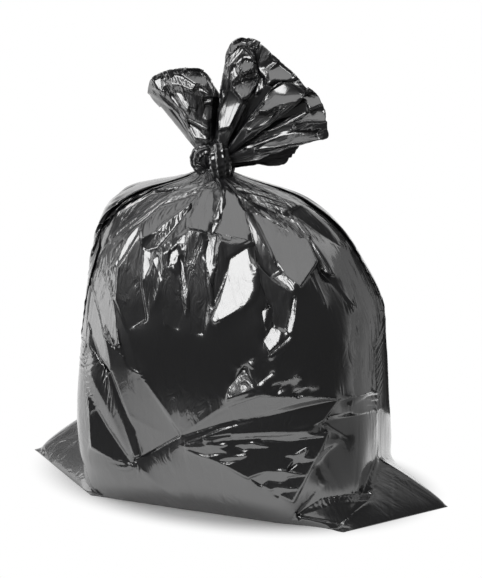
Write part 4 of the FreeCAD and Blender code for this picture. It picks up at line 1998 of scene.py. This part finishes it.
@dataclass(frozen=True)
class Studio:
    """A white table and backdrop in a dark room, the soft lamps and the camera, in metres."""

    view: PhotoView = VIEW
    table_left: float = -1.7
    table_right: float = 0.9
    table_front: float = -0.46
    table_back: float = 2.2
    card_place: float = 0.36
    card_foot: float = 0.01
    card_top: float = 0.6
    middle_height: float = 0.3
    shadow_squash: float = 1.55
    shadow_from: float = 0.255
    shadow_to: float = 0.35
    painted_shadow_from: float = 0.26
    # painted shadow: in the film's reflections the table's white darkens between these two x places to this
    # level, standing in for the bag's shadow from the key lamp
    painted_shadow_to: float = 0.42
    painted_shadow_level: float = 0.3
    room_light: float = 0.075
    backdrop_from: float = 0.12
    backdrop_to: float = 0.85

    def build(self) -> None:
        """Add the camera, the table, the cards, the world and the lamps."""
        bpy.context.scene.view_settings.view_transform = "Standard"
        self.add_camera()
        self.add_table()
        for card in CARDS:
            self.add_card(card)
        self.add_world()
        for lamp in LAMPS:
            self.add_lamp(lamp)

    def add_camera(self) -> None:
        """The camera at the photograph's angle."""
        right, up, back = self.view.axes()
        data = bpy.data.cameras.new("camera")
        data.sensor_width = 36.0
        longest = max(self.view.width, self.view.height)
        data.lens = self.view.distance / self.view.mm_per_pixel / longest * data.sensor_width
        data.clip_end = 100.0
        camera = linked("camera", data)
        turn = Matrix((right, up, back)).transposed().to_4x4()
        camera.matrix_world = Matrix.Translation(Vector(self.view.eye() * MM)) @ turn
        bpy.context.scene.camera = camera

    @staticmethod
    def background_rays(tree: bpy.types.NodeTree) -> bpy.types.NodeSocket:
        """1 for the rays that show the background: those of the camera, of glossy film and of glass."""
        path = add_node(tree, "ShaderNodeLightPath").outputs
        most = path["Is Camera Ray"]
        for kind in ("Is Glossy Ray", "Is Transmission Ray"):
            larger = add_node(tree, "ShaderNodeMath", {"operation": "MAXIMUM"}, {0: most, 1: path[kind]})
            most = larger.outputs[0]
        return most

    @staticmethod
    def panel(
        name: str, corners: list[tuple[float, float, float]], material: bpy.types.Material
    ) -> bpy.types.Object:
        """A flat panel of the stage.

        Args:
            name: the panel's name.
            corners: its four corners, in metres.
            material: its material.

        Returns:
            The new object.
        """
        mesh = bpy.data.meshes.new(name)
        mesh.from_pydata(corners, [], [(0, 1, 2, 3)])
        mesh.materials.append(material)
        piece = linked(name, mesh)
        return piece

    def table_paint(self) -> bpy.types.Material:
        """Matt white that keeps the bag's shadow and is plain white away from it; in the film's reflections
        it darkens to the right, a painted shadow of the bag from the key lamp.
        """
        material = bpy.data.materials.new("white_table")
        tree = empty_tree(material)
        diffuse = add_node(tree, "ShaderNodeBsdfDiffuse", None, {"Color": linear("fafafa")})
        place = add_node(tree, "ShaderNodeTexCoord").outputs["Object"]
        oval = add_node(
            tree, "ShaderNodeMapping", None, {"Vector": place, "Scale": (1.0, self.shadow_squash, 1.0)}
        )
        length = add_node(tree, "ShaderNodeVectorMath", {"operation": "LENGTH"}, {0: oval.outputs[0]})
        away = add_node(
            tree,
            "ShaderNodeMapRange",
            {"interpolation_type": "SMOOTHSTEP"},
            {"Value": length.outputs["Value"], "From Min": self.shadow_from, "From Max": self.shadow_to},
        )
        shown = add_node(
            tree,
            "ShaderNodeMath",
            {"operation": "MULTIPLY"},
            {0: away.outputs[0], 1: self.background_rays(tree)},
        )
        apart = add_node(tree, "ShaderNodeSeparateXYZ", None, {0: place}).outputs
        # painted shadow: for reflected rays the white darkens towards the right, standing in for the bag's
        # shadow from the key lamp; the camera still sees plain white
        side = add_node(
            tree,
            "ShaderNodeMapRange",
            {"interpolation_type": "SMOOTHSTEP"},
            {
                "Value": apart["X"],
                "From Min": self.painted_shadow_from,
                "From Max": self.painted_shadow_to,
                "To Min": 1.0,
                "To Max": self.painted_shadow_level,
            },
        )
        seen = add_node(tree, "ShaderNodeLightPath").outputs["Is Camera Ray"]
        level = add_node(tree, "ShaderNodeMath", {"operation": "MAXIMUM"}, {0: side.outputs[0], 1: seen})
        white = add_node(
            tree, "ShaderNodeEmission", None, {"Color": (1, 1, 1, 1), "Strength": level.outputs[0]}
        )
        mix = add_node(
            tree,
            "ShaderNodeMixShader",
            None,
            {0: shown.outputs[0], 1: diffuse.outputs[0], 2: white.outputs[0]},
        )
        add_node(tree, "ShaderNodeOutputMaterial", None, {"Surface": mix.outputs[0]})
        return material

    def add_table(self) -> None:
        """The table, which ends close in front of the bag: the film's middle mirrors the dark room."""
        left, right, front, back = self.table_left, self.table_right, self.table_front, self.table_back
        corners = [(left, front, 0), (right, front, 0), (right, back, 0), (left, back, 0)]
        self.panel("table", corners, self.table_paint())

    def add_card(self, card: Card) -> None:
        """Add a card, which only the film mirrors."""
        material = bpy.data.materials.new(card.name)
        tree = empty_tree(material)
        shade = add_node(tree, "ShaderNodeEmission", None, {"Color": (1, 1, 1, 1), "Strength": card.glow})
        add_node(tree, "ShaderNodeOutputMaterial", None, {"Surface": shade.outputs[0]})
        low, high = self.card_foot, self.card_top
        edges = ((card.left, low), (card.right, low), (card.right, high), (card.left, high))
        piece = self.panel(card.name, [(x, self.card_place, z) for x, z in edges], material)
        piece.visible_camera = False
        piece.visible_diffuse = False
        piece.visible_shadow = False

    def add_world(self) -> None:
        """White for the camera, a white backdrop behind the bag in its reflections, and a dim room."""
        world = bpy.data.worlds.new("studio_air")
        tree = empty_tree(world)
        path = add_node(tree, "ShaderNodeLightPath").outputs
        way = add_node(tree, "ShaderNodeTexCoord").outputs["Generated"]
        parts = add_node(tree, "ShaderNodeSeparateXYZ", None, {0: way}).outputs
        behind = add_node(
            tree,
            "ShaderNodeMapRange",
            {"interpolation_type": "SMOOTHSTEP"},
            {"Value": parts["Y"], "From Min": self.backdrop_from, "From Max": self.backdrop_to},
        )
        shown = add_node(
            tree,
            "ShaderNodeMath",
            {"operation": "MULTIPLY"},
            {0: behind.outputs[0], 1: self.background_rays(tree)},
        )
        factor = add_node(
            tree,
            "ShaderNodeMath",
            {"operation": "MAXIMUM"},
            {0: shown.outputs[0], 1: path["Is Camera Ray"]},
        )
        dim, white = (
            add_node(tree, "ShaderNodeBackground", None, {"Color": (1, 1, 1, 1), "Strength": strength})
            for strength in (self.room_light, 1.0)
        )
        mix = add_node(
            tree,
            "ShaderNodeMixShader",
            None,
            {0: factor.outputs[0], 1: dim.outputs[0], 2: white.outputs[0]},
        )
        add_node(tree, "ShaderNodeOutputWorld", None, {"Surface": mix.outputs[0]})
        bpy.context.scene.world = world

    def add_lamp(self, lamp: Lamp) -> None:
        """Add a rectangular soft lamp that faces the bag's middle."""
        way = Vector(direction(lamp.azimuth, lamp.elevation))
        data = bpy.data.lights.new(lamp.name, "AREA")
        data.shape = "RECTANGLE"
        data.size, data.size_y = lamp.size
        data.energy = lamp.radiance * math.pi * lamp.size[0] * lamp.size[1]
        piece = linked(lamp.name, data)
        piece.location = Vector((0, 0, self.middle_height)) + way * lamp.distance
        piece.rotation_euler = (-way).to_track_quat("-Z", "Y").to_euler()


def main() -> None:
    """Build the bag and its studio."""
    logging.basicConfig(level=logging.INFO, format="%(name)s: %(message)s")
    material = BlackFilm().make()
    pieces = [BagBody().build(material)]
    pieces += [leaf.build(material) for leaf in LEAVES]
    pieces += Knot().build(material)
    for piece in pieces:
        LOG.info("%s: %d faces", piece.name, len(piece.data.polygons))
    Studio().build()


if __name__ == "__main__":
    main()
